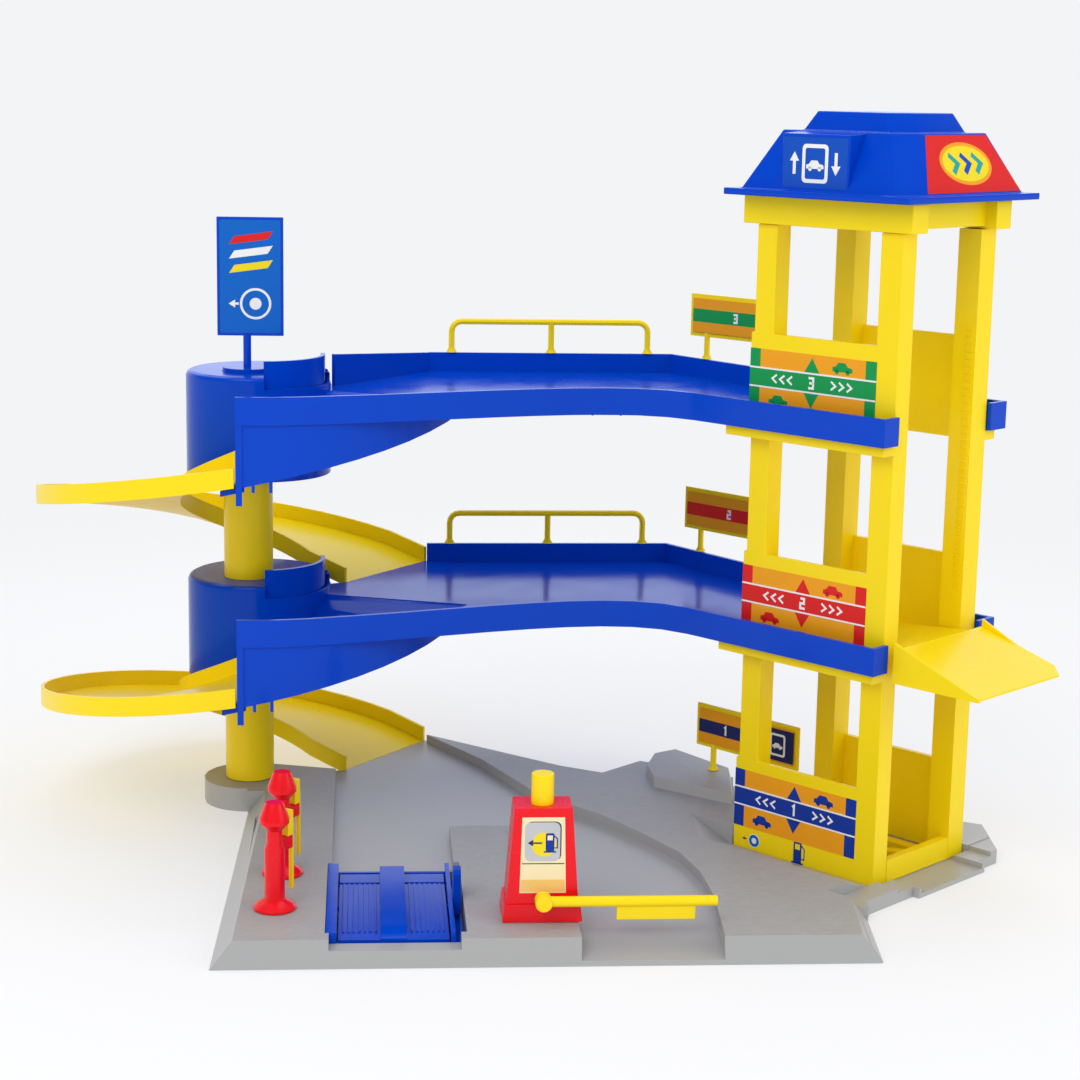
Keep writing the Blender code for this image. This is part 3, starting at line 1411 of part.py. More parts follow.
def tilt_frame():
    """The blue cradle in the base that carries the tilting plate."""
    x0, x1 = RECESS_X[0] + GAP, RECESS_X[1] - GAP
    y0, y1 = RECESS_Y[0] + GAP, RECESS_Y[1] - GAP
    bottom = RECESS_FLOOR + GAP
    made = box("tilt_frame", ROOT, (x0, y0, bottom), (x1, y1, bottom + CRADLE_FLOOR))
    left = box("tilt_frame_left", ROOT, (x0, y0, bottom), (x0 + CRADLE_SIDE, y1, KERB_TOP - GAP))
    plate_right = x1 - CRADLE_RIGHT - LEVER_THICK
    right = box(
        "tilt_frame_right", ROOT, (plate_right, y0, bottom), (plate_right + CRADLE_WALL, y1, KERB_TOP - GAP)
    )
    back = box(
        "tilt_frame_back", ROOT,
        (x0, y1 - CRADLE_WALL, bottom), (plate_right + CRADLE_WALL, y1, PLATE_TOP),
    )
    join(made, left, right, back)
    open_from, open_to = x0 + CRADLE_SIDE + PLATE_MARGIN / 2, plate_right - PLATE_MARGIN / 2
    middle = (y0 + y1) / 2
    for number, (start, end) in enumerate(
        ((y0 + CRADLE_WALL, middle - CRADLE_WALL), (middle + CRADLE_WALL, y1 - 2 * CRADLE_WALL)), 1
    ):
        window = box(
            f"tilt_frame_window_{number}", ROOT, (open_from, start, bottom - OVERRUN),
            (open_to, end, bottom + 2 * CRADLE_FLOOR),
        )
        cut(made, window)
    reach = CRADLE_SIDE + OVERRUN
    for number, start in enumerate((x0 + CRADLE_SIDE / 2, plate_right - OVERRUN), 1):
        pin_hole = rod(
            f"tilt_frame_pin_hole_{number}", ROOT, (start, PLATE_PIVOT_Y, PLATE_PIVOT_Z),
            (start + reach, PLATE_PIVOT_Y, PLATE_PIVOT_Z), PLATE_PIN + GAP, ROUND_SIDES,
        )
        cut(made, pin_hole)
    return finish(made, BLUE)


def tilt_plate():
    """The tilting plate on its pins, with its treads, its ridge and its lever."""
    stand = empty("tilt_axis", ROOT, (RECESS_X[0], PLATE_PIVOT_Y, PLATE_PIVOT_Z), 0.0)
    left = CRADLE_SIDE + GAP + PLATE_MARGIN
    frame_right = RECESS_X[1] - RECESS_X[0] - GAP - CRADLE_RIGHT - LEVER_THICK
    right = frame_right - PLATE_MARGIN
    front = RECESS_Y[0] + PLATE_END_MARGIN - PLATE_PIVOT_Y
    back = RECESS_Y[1] - PLATE_END_MARGIN - CRADLE_WALL - PLATE_PIVOT_Y
    top = PLATE_TOP - PLATE_PIVOT_Z
    low = top - PLATE_THICK
    made = box("tilt_plate", stand, (left, front, low), (right, back, top))
    middle = (left + right) / 2
    half = RIDGE_WIDTH / 2
    ridge_outline = (
        (front, low + GAP), (front, top + TREAD_RISE), (front + RIDGE_NOSE, top + RIDGE_RISE),
        (back, top + RIDGE_RISE), (back, low + GAP),
    )
    ridge = side_prism("tilt_ridge", stand, ridge_outline, middle - half, middle + half)
    join(made, ridge)
    treads_from = front + RIDGE_NOSE
    groove_y = back - GROOVE_FROM_BACK
    for side, (start, end) in {"left": (left, middle - half), "right": (middle + half, right)}.items():
        width = end - start
        first = start + width * TREAD_MARGIN_SHARE
        pitch = width * (1 - 2 * TREAD_MARGIN_SHARE) / (TREAD_COUNT - 1)
        for number in range(TREAD_COUNT):
            x = first + number * pitch
            tread = box(
                f"tilt_tread_{side}_{number + 1}", stand, (x - TREAD_WIDTH / 2, treads_from, low + 2 * GAP),
                (x + TREAD_WIDTH / 2, groove_y - GROOVE_WIDTH, top + TREAD_RISE),
            )
            join(made, tread)
        groove = box(
            f"tilt_groove_{side}", stand,
            (start - OVERRUN * (side == "left"), groove_y - GROOVE_WIDTH, top - GROOVE_DEPTH),
            (end + OVERRUN * (side == "right"), groove_y, top + OVERRUN),
        )
        cut(made, groove)
    lever_x = frame_right + CRADLE_WALL + GAP
    pins = rod(
        "tilt_pins", stand, (CRADLE_SIDE / 2 + 3 * GAP, 0.0, 0.0), (lever_x + LEVER_THICK / 2, 0.0, 0.0),
        PLATE_PIN, ROUND_SIDES,
    )
    half_lever = LEVER_LENGTH / 2
    lever_outline = (
        (-half_lever, -PLATE_PIN * 2), (half_lever, -PLATE_PIN * 2),
        (half_lever, LEVER_TOP - PLATE_PIVOT_Z - WALL),
        (half_lever - WALL, LEVER_TOP - PLATE_PIVOT_Z), (WALL - half_lever, LEVER_TOP - PLATE_PIVOT_Z),
        (-half_lever, LEVER_TOP - PLATE_PIVOT_Z - WALL),
    )
    lever = side_prism("tilt_lever", stand, lever_outline, lever_x, lever_x + LEVER_THICK)
    join(made, pins, lever)
    return finish(made, BLUE)


def centre_garage():
    """Moves the root so that the box round the garage stands centred on the origin."""
    bpy.context.view_layer.update()
    graph = bpy.context.evaluated_depsgraph_get()
    corners = []
    for made in PARTS.objects:
        if made.type != "MESH":
            continue
        seen = made.evaluated_get(graph)
        corners += [seen.matrix_world @ Vector(vertex.co) for vertex in seen.data.vertices]
    low = [min(corner[axis] for corner in corners) for axis in range(3)]
    high = [max(corner[axis] for corner in corners) for axis in range(3)]
    ROOT.location = (-(low[0] + high[0]) / 2, -(low[1] + high[1]) / 2, -low[2])
    bpy.context.view_layer.update()


def main():
    base()
    columns()
    ramp("ramp_lower", deck_floor(2) - RAMP_TOP_DROP)
    ramp("ramp_upper", deck_floor(3) - RAMP_TOP_DROP)
    for level in (2, 3):
        deck(level)
        railing(level)
    for level in (1, 2, 3):
        level_sign(level)
    parking_sign()
    tower_frames()
    tower_floor()
    tower_crown()
    roof()
    lift_platform()
    booth()
    barrier_button()
    barrier_arm()
    for side, place in PUMP_PLACES.items():
        pump(side, place)
        pump_hose(side, place)
    tilt_frame()
    tilt_plate()
    centre_garage()


main()
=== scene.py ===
"""Dresses the toy parking garage: moulded plastic finishes, printed stickers and small moulded details.

Shapes and places are in millimetres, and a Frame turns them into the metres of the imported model. The
garage's own frame is drawn from the axis of the spiral ramps, and the lift tower has one turned on the base.
"""

from __future__ import annotations

import json
import logging
import math
from dataclasses import dataclass, field
from enum import Enum
from typing import Sequence

import bmesh
import bpy
from mathutils import Matrix, Vector

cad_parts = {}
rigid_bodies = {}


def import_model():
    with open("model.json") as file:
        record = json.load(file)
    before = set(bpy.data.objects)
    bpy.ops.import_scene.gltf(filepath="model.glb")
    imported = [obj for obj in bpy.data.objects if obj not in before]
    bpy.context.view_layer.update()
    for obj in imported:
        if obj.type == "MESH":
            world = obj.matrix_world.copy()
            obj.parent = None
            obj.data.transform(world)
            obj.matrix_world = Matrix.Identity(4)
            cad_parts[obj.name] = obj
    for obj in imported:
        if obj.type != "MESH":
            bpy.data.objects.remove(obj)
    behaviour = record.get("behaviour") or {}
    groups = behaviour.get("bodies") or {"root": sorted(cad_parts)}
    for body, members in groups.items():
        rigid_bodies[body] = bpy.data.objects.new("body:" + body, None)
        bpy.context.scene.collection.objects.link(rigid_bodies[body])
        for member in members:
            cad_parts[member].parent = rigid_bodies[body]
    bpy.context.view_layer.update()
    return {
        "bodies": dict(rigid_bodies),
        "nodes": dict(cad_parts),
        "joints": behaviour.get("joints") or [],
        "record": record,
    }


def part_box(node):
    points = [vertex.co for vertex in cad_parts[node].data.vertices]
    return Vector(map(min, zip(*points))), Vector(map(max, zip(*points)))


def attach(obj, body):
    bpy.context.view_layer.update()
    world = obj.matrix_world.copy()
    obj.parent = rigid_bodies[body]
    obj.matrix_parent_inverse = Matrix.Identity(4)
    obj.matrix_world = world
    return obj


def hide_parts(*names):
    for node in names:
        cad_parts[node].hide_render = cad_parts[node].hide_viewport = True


LOG = logging.getLogger("parking_garage")
MM = 0.001
UP = Vector((0.0, 0.0, 1.0))
# The usual radius of a moulded edge, and how near two points are joined, in millimetres.
EDGE = 0.45
WELD_WITHIN = 0.002
# How far faces may lean and still be one flat face or one round side.
PLANAR_WITHIN = math.radians(0.8)
SMOOTH_BELOW = math.radians(34)
FLAT_WEIGHT = 90
# An arrow head's length by its width, and the sharpest corner of a stroke.
HEAD_SHARE = 0.8
MITRE_LIMIT = 0.35

Point2 = tuple[float, float]
Point3 = tuple[float, float, float]
Outline = list[Point2]
Line2 = tuple[Point2, Point2]
Socket = bpy.types.NodeSocket
Tree = bpy.types.NodeTree
Piece = bpy.types.Object


class Ink(Enum):
    """The printing colours of the stickers, as sRGB hex values."""

    AMBER = "F6A51C"
    CREAM = "F7E7B8"
    PEACH = "F5C873"
    GREEN = "0E9A4E"
    SCARLET = "E2231F"
    NAVY = "16399C"
    COBALT = "0850BE"
    MIDNIGHT = "232A63"
    SKY = "0266C8"
    WHITE = "F4F4F2"
    SILVER = "C4C6C8"
    LEMON = "F6DE1E"
    TEAL = "2BA7A0"


class Body(Enum):
    """The bodies that the pieces made here move with."""

    GARAGE = "garage"
    LIFT = "lift"


class Slot(Enum):
    """The record's material slots."""

    YELLOW = "yellow"
    BLUE = "blue"
    RED = "red"
    GREY = "grey"


def linear(value: str, share: float = 1.0) -> tuple[float, float, float, float]:
    """Turns an sRGB hex value into a linear colour.

    Args:
        value: Six hex digits.
        share: How much of its light it keeps.

    Returns:
        Red, green, blue and full alpha.
    """
    channels = [int(value[i:i + 2], 16) / 255 for i in (0, 2, 4)]
    red, green, blue = [
        share * (c / 12.92 if c <= 0.04045 else ((c + 0.055) / 1.055) ** 2.4) for c in channels
    ]
    return red, green, blue, 1.0


def fill(tree: Tree, node: bpy.types.Node, values: dict[str | int, object]) -> None:
    """Gives each named or numbered input of a node the socket that feeds it, or its value."""
    for key, value in values.items():
        if isinstance(value, Socket):
            tree.links.new(value, node.inputs[key])
        else:
            node.inputs[key].default_value = value


def add_node(
    tree: Tree, kind: str, values: dict[str | int, object] | None = None, **settings: object
) -> bpy.types.Node:
    """Adds one node to a tree.

    Args:
        tree: The tree that gets the node.
        kind: The node's type name.
        values: For each input, by name or number, the socket that feeds it or its value.
        settings: The node's own properties.

    Returns:
        The new node.
    """
    made = tree.nodes.new(kind)
    for name, value in settings.items():
        setattr(made, name, value)
    fill(tree, made, values or {})
    return made


def place_of(tree: Tree) -> Socket:
    """The place on the piece, in Object coordinates."""
    return add_node(tree, "ShaderNodeTexCoord").outputs["Object"]


def axis_of(tree: Tree, vector: Socket, axis: str) -> Socket:
    """One coordinate of a vector."""
    return add_node(tree, "ShaderNodeSeparateXYZ", {0: vector}).outputs[axis]


def noise(tree: Tree, place: Socket, scale: float, detail: float, **more: float) -> Socket:
    """A soft random pattern."""
    values = {"Vector": place, "Scale": scale, "Detail": detail, **more}
    return add_node(tree, "ShaderNodeTexNoise", values).outputs["Fac"]


def mapped(
    tree: Tree, value: Socket, source: Point2 = (0.0, 1.0), target: Point2 = (0.0, 1.0),
    kind: str = "LINEAR",
) -> Socket:
    """Carries a value from one range to another."""
    values = {
        "Value": value, "From Min": source[0], "From Max": source[1], "To Min": target[0],
        "To Max": target[1],
    }
    return add_node(tree, "ShaderNodeMapRange", values, interpolation_type=kind).outputs["Result"]


def blend(tree: Tree, share: Socket, low: Sequence[float], high: Sequence[float]) -> Socket:
    """A mix of two colours."""
    return add_node(tree, "ShaderNodeMix", {0: share, 6: low, 7: high}, data_type="RGBA").outputs[2]


def product(tree: Tree, first: Socket, second: Socket) -> Socket:
    """One value times another."""
    return add_node(tree, "ShaderNodeMath", {0: first, 1: second}, operation="MULTIPLY").outputs[0]


def bump(tree: Tree, height: Socket, strength: float, depth: float, **more: Socket) -> Socket:
    """The normals of a shallow relief, this deep in metres."""
    values = {"Height": height, "Strength": strength, "Distance": depth, **more}
    return add_node(tree, "ShaderNodeBump", values).outputs["Normal"]


def new_tree(name: str) -> tuple[bpy.types.Material, Tree, bpy.types.Node]:
    """Starts a material, and gives it with its node tree and its Principled shader."""
    material = bpy.data.materials.new(name)
    material.use_nodes = True
    return material, material.node_tree, material.node_tree.nodes["Principled BSDF"]


@dataclass(frozen=True)
class MouldedPlastic:
    """Injection-moulded ABS: a smooth glossy skin with a faint ripple from the mould's polish.

    The eye sees clear, slightly soft reflections, and a colour that drifts by a few percent where the
    melt flowed.
    """

    name: str
    colour: str
    roughness: float
    specular: float
    ripple: float = 5.0 * MM
    ripple_depth: float = 0.035 * MM
    ripple_strength: float = 0.35
    flow: float = 0.2
    drift: float = 0.04
    spread: Point2 = (0.3, 0.7)
    gloss: Point2 = (-0.02, 0.03)

    def material(self) -> bpy.types.Material:
        """Builds the finish's node tree and returns the material."""
        material, tree, shader = new_tree(self.name)
        place = place_of(tree)
        flow = noise(tree, place, self.flow / self.ripple, 2.0)
        skin = noise(tree, place, 1 / self.ripple, 1.0)
        gloss = (self.roughness + self.gloss[0], self.roughness + self.gloss[1])
        fill(tree, shader, {
            "Base Color": blend(tree, flow, linear(self.colour, 1 - self.drift), linear(self.colour)),
            "Normal": bump(tree, skin, self.ripple_strength, self.ripple_depth),
            "Roughness": mapped(tree, flow, self.spread, gloss, "SMOOTHSTEP"),
            "IOR": 1.5, "Specular IOR Level": self.specular, "Metallic": 0.0,
        })
        return material


@dataclass(frozen=True)
class PavedPlastic:
    """Grey moulded ABS whose raised kerbs carry a split-slate texture cut into the mould.

    The eye sees satin lanes and, on the kerbs' tops, long shallow ridges a few millimetres apart.
    """

    name: str
    colour: str
    kerb_from: float = 13.0 * MM
    kerb_fade: float = 0.8 * MM
    roughness: float = 0.36
    kerb_roughness: float = 0.50
    kerb_shade: float = 0.92
    level: Point2 = (0.6, 0.9)
    slate: float = 2.2 * MM
    slate_depth: float = 0.22 * MM
    slate_strength: float = 0.5
    slate_stretch: Point3 = (0.35, 1.0, 1.0)
    ridge: Point2 = (0.38, 0.62)
    grain: float = 1200.0
    grain_depth: float = 0.02 * MM
    grain_strength: float = 0.3

    def material(self) -> bpy.types.Material:
        """Builds the finish's node tree and returns the material."""
        material, tree, shader = new_tree(self.name)
        place = place_of(tree)
        facing = axis_of(tree, add_node(tree, "ShaderNodeNewGeometry").outputs["Normal"], "Z")
        high = mapped(tree, axis_of(tree, place, "Z"), (self.kerb_from, self.kerb_from + self.kerb_fade))
        on_kerb = product(tree, high, mapped(tree, facing, self.level))
        stretched = add_node(tree, "ShaderNodeMapping", {"Vector": place, "Scale": self.slate_stretch})
        slate = noise(tree, stretched.outputs[0], 1 / self.slate, 4.0, Roughness=0.6, Distortion=0.8)
        ridges = product(tree, mapped(tree, slate, self.ridge), on_kerb)
        fine = bump(tree, noise(tree, place, self.grain, 2.0), self.grain_strength, self.grain_depth)
        fill(tree, shader, {
            "Normal": bump(tree, ridges, self.slate_strength, self.slate_depth, Normal=fine),
            "Base Color": blend(tree, ridges, linear(self.colour), linear(self.colour, self.kerb_shade)),
            "Roughness": mapped(tree, on_kerb, target=(self.roughness, self.kerb_roughness)),
            "IOR": 1.52,
        })
        return material


@dataclass(frozen=True)
class PrintedVinyl:
    """Offset-printed vinyl film under a clear laminate.

    The eye sees a flat, even ink with a satin sheen and a hint of the adhesive's unevenness below.
    """

    ink: Ink
    roughness: float = 0.32
    specular: float = 0.2
    worn: float = 0.94
    patches: float = 90.0
    depth: float = 0.06 * MM
    strength: float = 0.2

    def material(self) -> bpy.types.Material:
        """Builds the film's node tree, once for each ink, and returns the material."""
        name = f"printed_vinyl_{self.ink.name.lower()}"
        if name in bpy.data.materials:
            return bpy.data.materials[name]
        material, tree, shader = new_tree(name)
        uneven = noise(tree, place_of(tree), self.patches, 1.0)
        fill(tree, shader, {
            "Base Color": blend(tree, uneven, linear(self.ink.value, self.worn), linear(self.ink.value)),
            "Normal": bump(tree, uneven, self.strength, self.depth),
            "Roughness": self.roughness, "Specular IOR Level": self.specular,
        })
        return material


FINISHES = {
    Slot.YELLOW: MouldedPlastic("yellow_moulded_abs", "FEDF0C", 0.30, 0.25),
    Slot.BLUE: MouldedPlastic("blue_moulded_abs", "0044C6", 0.16, 0.15),
    Slot.RED: MouldedPlastic("red_moulded_abs", "F0081A", 0.26, 0.3),
    Slot.GREY: PavedPlastic("grey_paved_abs", "A9A9A8"),
}


def plastic_of(slot: Slot) -> bpy.types.Material:
    """The finish of a slot, built once."""
    finish = FINISHES[slot]
    return bpy.data.materials.get(finish.name) or finish.material()


def slot_of(name: str) -> Slot:
    """The colour in which a node is moulded."""
    if name == "base_plate":
        return Slot.GREY
    if name in ("booth_body", "fuel_pump_front", "fuel_pump_rear"):
        return Slot.RED
    if name.startswith(("deck", "tilt", "roof", "parking")):
        return Slot.BLUE
    return Slot.YELLOW


def finished(piece: Piece, body: Body, slot: Slot | None = None, replaces: str = "") -> Piece:
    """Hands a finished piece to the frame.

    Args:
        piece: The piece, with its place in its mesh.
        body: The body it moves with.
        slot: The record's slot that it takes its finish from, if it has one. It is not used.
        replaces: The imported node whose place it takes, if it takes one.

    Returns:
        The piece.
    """
    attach(piece, body.value)
    if replaces:
        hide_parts(replaces)
    LOG.info("%s: %d faces on %s", piece.name, len(piece.data.polygons), body.value)
    return piece


def mesh_piece(name: str, shape: bmesh.types.BMesh, materials: Sequence[bpy.types.Material]) -> Piece:
    """Makes an object from a bmesh.

    Args:
        name: The piece's name.
        shape: The bmesh, which is freed.
        materials: The piece's materials, in the order of its faces' numbers.

    Returns:
        The piece.
    """
    mesh = bpy.data.meshes.new(name)
    shape.to_mesh(mesh)
    shape.free()
    for material in materials:
        mesh.materials.append(material)
    piece = bpy.data.objects.new(name, mesh)
    bpy.context.scene.collection.objects.link(piece)
    return piece


def add_skin(shape: bmesh.types.BMesh, rings: Sequence[Sequence[Vector]]) -> list[bmesh.types.BMFace]:
    """Adds a closed skin through rings of equally many points, and gives its faces, both caps first."""
    rows = [[shape.verts.new(point) for point in ring] for ring in rings]
    faces = [shape.faces.new(rows[-1]), shape.faces.new(rows[0][::-1])]
    for row, above in zip(rows, rows[1:]):
        for i, point in enumerate(row):
            j = (i + 1) % len(row)
            faces.append(shape.faces.new((point, row[j], above[j], above[i])))
    return faces


def loft(name: str, rings: Sequence[Sequence[Vector]], slot: Slot) -> Piece:
    """A closed solid through rings of equally many points, capped at both ends.

    Args:
        name: The piece's name.
        rings: The rings, in order.
        slot: The slot of its plastic.

    Returns:
        The piece.
    """
    shape = bmesh.new()
    add_skin(shape, rings)
    bmesh.ops.recalc_face_normals(shape, faces=shape.faces)
    return mesh_piece(name, shape, [plastic_of(slot)])


def round_edges(piece: Piece, width: float, segments: int = 2, limit: float = 38.0) -> None:
    """Rounds a piece's edges, with smooth round sides and flat faces that stay flat.

    Args:
        piece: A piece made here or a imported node, whose own mesh keeps its points.
        width: The edge radius.
        segments: How many facets make the round.
        limit: The least angle in degrees at which an edge is rounded.
    """
    faces = piece.data.polygons
    faces.foreach_set("use_smooth", [True] * len(faces))
    bevel = piece.modifiers.new("bevel", "BEVEL")
    bevel.width = width * MM
    bevel.segments = segments
    bevel.limit_method = "ANGLE"
    bevel.angle_limit = math.radians(limit)
    split = piece.modifiers.new("crease", "EDGE_SPLIT")
    split.split_angle = SMOOTH_BELOW
    split.use_edge_sharp = False
    level = piece.modifiers.new("level", "WEIGHTED_NORMAL")
    level.mode = "FACE_AREA"
    level.weight = FLAT_WEIGHT


def weld_points(piece: Piece) -> None:
    """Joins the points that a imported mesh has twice."""
    piece.modifiers.new("weld", "WELD").merge_threshold = WELD_WITHIN * MM


def soften(node: Piece, width: float) -> None:
    """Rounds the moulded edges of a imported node, or of a copy of it, without touching its mesh."""
    weld_points(node)
    planar = node.modifiers.new("planar", "DECIMATE")
    planar.decimate_type = "DISSOLVE"
    planar.angle_limit = PLANAR_WITHIN
    round_edges(node, width)


def carved(name: str, node_name: str, cutters: Sequence[Piece] = ()) -> Piece:
    """Makes a copy of a node with shapes cut away, which can stand in its place.

    Args:
        name: The copy's name.
        node_name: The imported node, which stays as it is.
        cutters: The shapes to cut away, which are removed.

    Returns:
        The carved copy.
    """
    piece = bpy.data.objects.new(name, bpy.data.objects[node_name].data.copy())
    bpy.context.scene.collection.objects.link(piece)
    weld_points(piece)
    for cutter in cutters:
        step = piece.modifiers.new(cutter.name, "BOOLEAN")
        step.operation = "DIFFERENCE"
        step.solver = "EXACT"
        step.object = cutter
    graph = bpy.context.evaluated_depsgraph_get()
    mesh = bpy.data.meshes.new_from_object(piece.evaluated_get(graph))
    piece.modifiers.clear()
    piece.data = mesh
    for cutter in cutters:
        bpy.data.objects.remove(cutter)
    return piece


def wear(piece: Piece, node_name: str, edge: float) -> Slot:
    """Gives a piece its node's plastic and, if edge isn't zero, rounded edges, and returns the slot."""
    slot = slot_of(node_name)
    piece.data.materials.clear()
    piece.data.materials.append(plastic_of(slot))
    if edge:
        soften(piece, edge)
    return slot


@dataclass(frozen=True)
class Face:
    """A flat face that carries a sticker: its lower left corner and its two directions."""

    corner: Vector
    across: Vector
    up: Vector

    def point(self, x: float, y: float, height: float) -> Vector:
        """A point this high over the face."""
        out = self.across.cross(self.up).normalized()
        return self.corner + self.across * (x * MM) + self.up * (y * MM) + out * (height * MM)


@dataclass(frozen=True)
class Frame:
    """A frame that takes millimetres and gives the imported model's metres."""

    matrix: Matrix

    def point(self, x: float, y: float, z: float) -> Vector:
        """A point of the frame."""
        return self.matrix @ Vector((x * MM, y * MM, z * MM))

    def way(self, x: float, y: float, z: float) -> Vector:
        """A direction of the frame."""
        return (self.matrix.to_3x3() @ Vector((x, y, z))).normalized()

    def turned(self, x: float, y: float, turn: float) -> Frame:
        """A frame that stands in this one, turned about the upright."""
        return Frame(Matrix.Translation(self.point(x, y, 0.0)) @ Matrix.Rotation(turn, 4, "Z"))

    def side(self, x: float, y: float, z: float) -> Face:
        """An upright face that looks towards low x, from its far lower corner."""
        return Face(self.point(x, y, z), self.way(0.0, -1.0, 0.0), UP)

    def prism(self, name: str, section: Outline, ends: Sequence[float], axis: int, slot: Slot) -> Piece:
        """A flat section carried along one axis.

        Args:
            name: The piece's name.
            section: The section, in the frame's two other coordinates.
            ends: Where it starts and ends on the axis.
            axis: The axis' number.
            slot: The slot of its plastic.

        Returns:
            The piece.
        """
        rings = [[self.point(*p[:axis], end, *p[axis:]) for p in section] for end in ends]
        return loft(name, rings, slot)

    def add_box(self, shape: bmesh.types.BMesh, low: Sequence[float], high: Sequence[float]) -> None:
        """Adds a box to a shape, from its lowest to its highest corner."""
        size = [(b - a) * MM for a, b in zip(low, high)]
        middle = [(a + b) / 2 * MM for a, b in zip(low, high)]
        place = self.matrix @ Matrix.Translation(middle) @ Matrix.Diagonal((*size, 1.0))
        bmesh.ops.create_cube(shape, size=1.0, matrix=place)


@dataclass
class Layout:
    """Where things stand: the garage's frame and the lift tower's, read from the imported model."""

    column_at: Point2 = (-6.0, -8.0)
    tower_at: Point2 = (337.0, -185.0)
    tower_turn: float = math.radians(41.5)
    garage: Frame = field(init=False)
    tower: Frame = field(init=False)

    def __post_init__(self) -> None:
        """Finds the garage's frame from the column's box, and the tower's in it."""
        low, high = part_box("column_lower")
        middle = (low + high) / 2
        x, y = self.column_at
        self.garage = Frame(Matrix.Translation((middle.x - x * MM, middle.y - y * MM, 0.0)))
        self.tower = self.garage.turned(*self.tower_at, self.tower_turn)


def rectangle(x0: float, y0: float, x1: float, y1: float) -> Outline:
    """A rectangle, anticlockwise."""
    return [(x0, y0), (x1, y0), (x1, y1), (x0, y1)]


def arc(cx: float, cy: float, radius: float, start: float, sweep: float, steps: int) -> Outline:
    """The points along an arc, with its angles in degrees and both ends included."""
    angles = [math.radians(start + sweep * i / steps) for i in range(steps + 1)]
    return [(cx + radius * math.cos(a), cy + radius * math.sin(a)) for a in angles]


def rounded(x0: float, y0: float, x1: float, y1: float, radius: float, steps: int = 5) -> Outline:
    """A rectangle with round corners, anticlockwise, with this many facets in a corner."""
    centres = rectangle(x0 + radius, y0 + radius, x1 - radius, y1 - radius)
    corners = [arc(*centres[(i + 1) % 4], radius, 90 * i - 90, 90, steps) for i in range(4)]
    return [point for corner in corners for point in corner]


def disc(cx: float, cy: float, radius: float, steps: int = 40) -> Outline:
    """A circle, anticlockwise."""
    return arc(cx, cy, radius, 0, 360, steps)[:-1]


def stroke(points: Sequence[Point2], width: float) -> Outline:
    """The outline of a line of this width through the points, with mitred corners."""
    path = [Vector(p) for p in points]
    headings = [(b - a).normalized() for a, b in zip(path, path[1:])]
    lefts = [Vector((-h.y, h.x)) for h in headings]
    near, far = [], []
    for i, point in enumerate(path):
        before, after = lefts[max(i - 1, 0)], lefts[min(i, len(lefts) - 1)]
        mitre = (before + after).normalized()
        reach = width / 2 / max(mitre.dot(after), MITRE_LIMIT)
        near.append(tuple(point - mitre * reach))
        far.append(tuple(point + mitre * reach))
    return near + far[::-1]


def arrow(start: Point2, end: Point2, width: float, head: float) -> Outline:
    """An arrow as one outline.

    Args:
        start: The tail.
        end: The tip.
        width: The shaft's width.
        head: The head's width, a little more than its length.

    Returns:
        The outline.
    """
    tail, tip = Vector(start), Vector(end)
    along = (tip - tail).normalized()
    side = Vector((-along.y, along.x)) / 2
    neck = tip - along * head * HEAD_SHARE
    points = [
        tail - side * width, neck - side * width, neck - side * head, tip,
        neck + side * head, neck + side * width, tail + side * width,
    ]
    return [tuple(p) for p in points]


def chevron(x: float, y: float, reach: float, rise: float, width: float) -> Outline:
    """An open arrow head whose tip lies to the side of x."""
    return stroke([(x, y - rise), (x + reach, y), (x, y + rise)], width)


def numeral(digit: int, middle: float, foot: float, height: float, weight: float = 1.3) -> list[Outline]:
    """A plain block numeral from 1 to 3.

    Args:
        digit: Which one.
        middle: Where its middle is across.
        foot: Its foot.
        height: Its height.
        weight: Its stroke.

    Returns:
        Its outlines.
    """
    w, h, half = height * 0.56, height, weight / 2
    shapes = {
        1: [[(0.22 * w, 0.84 * h - half), (0.55 * w, h - half), (0.55 * w, 0.0)]],
        2: [[(half, h - half), (w - half, h - half), (w - half, h / 2), (half, h / 2), (half, half),
             (w, half)]],
        3: [[(0.0, h - half), (w - half, h - half), (w - half, half), (0.0, half)],
            [(0.15 * w, h / 2), (w - half, h / 2)]],
    }
    left = middle - w / 2
    return [stroke([(left + x, foot + y) for x, y in shape], weight) for shape in shapes[digit]]


def car_pictogram(x: float, y: float, size: float) -> list[Outline]:
    """A plain side view of a car of this length over its foot: body with cabin, and two wheels."""
    body = [
        (-0.5, 0.12), (0.5, 0.12), (0.5, 0.27), (0.42, 0.32), (0.26, 0.34), (0.14, 0.50),
        (-0.22, 0.50), (-0.34, 0.34), (-0.5, 0.30),
    ]
    wheels = [disc(x + cx * size, y + 0.12 * size, 0.105 * size, 20) for cx in (-0.28, 0.27)]
    return [[(x + px * size, y + py * size) for px, py in body], *wheels]


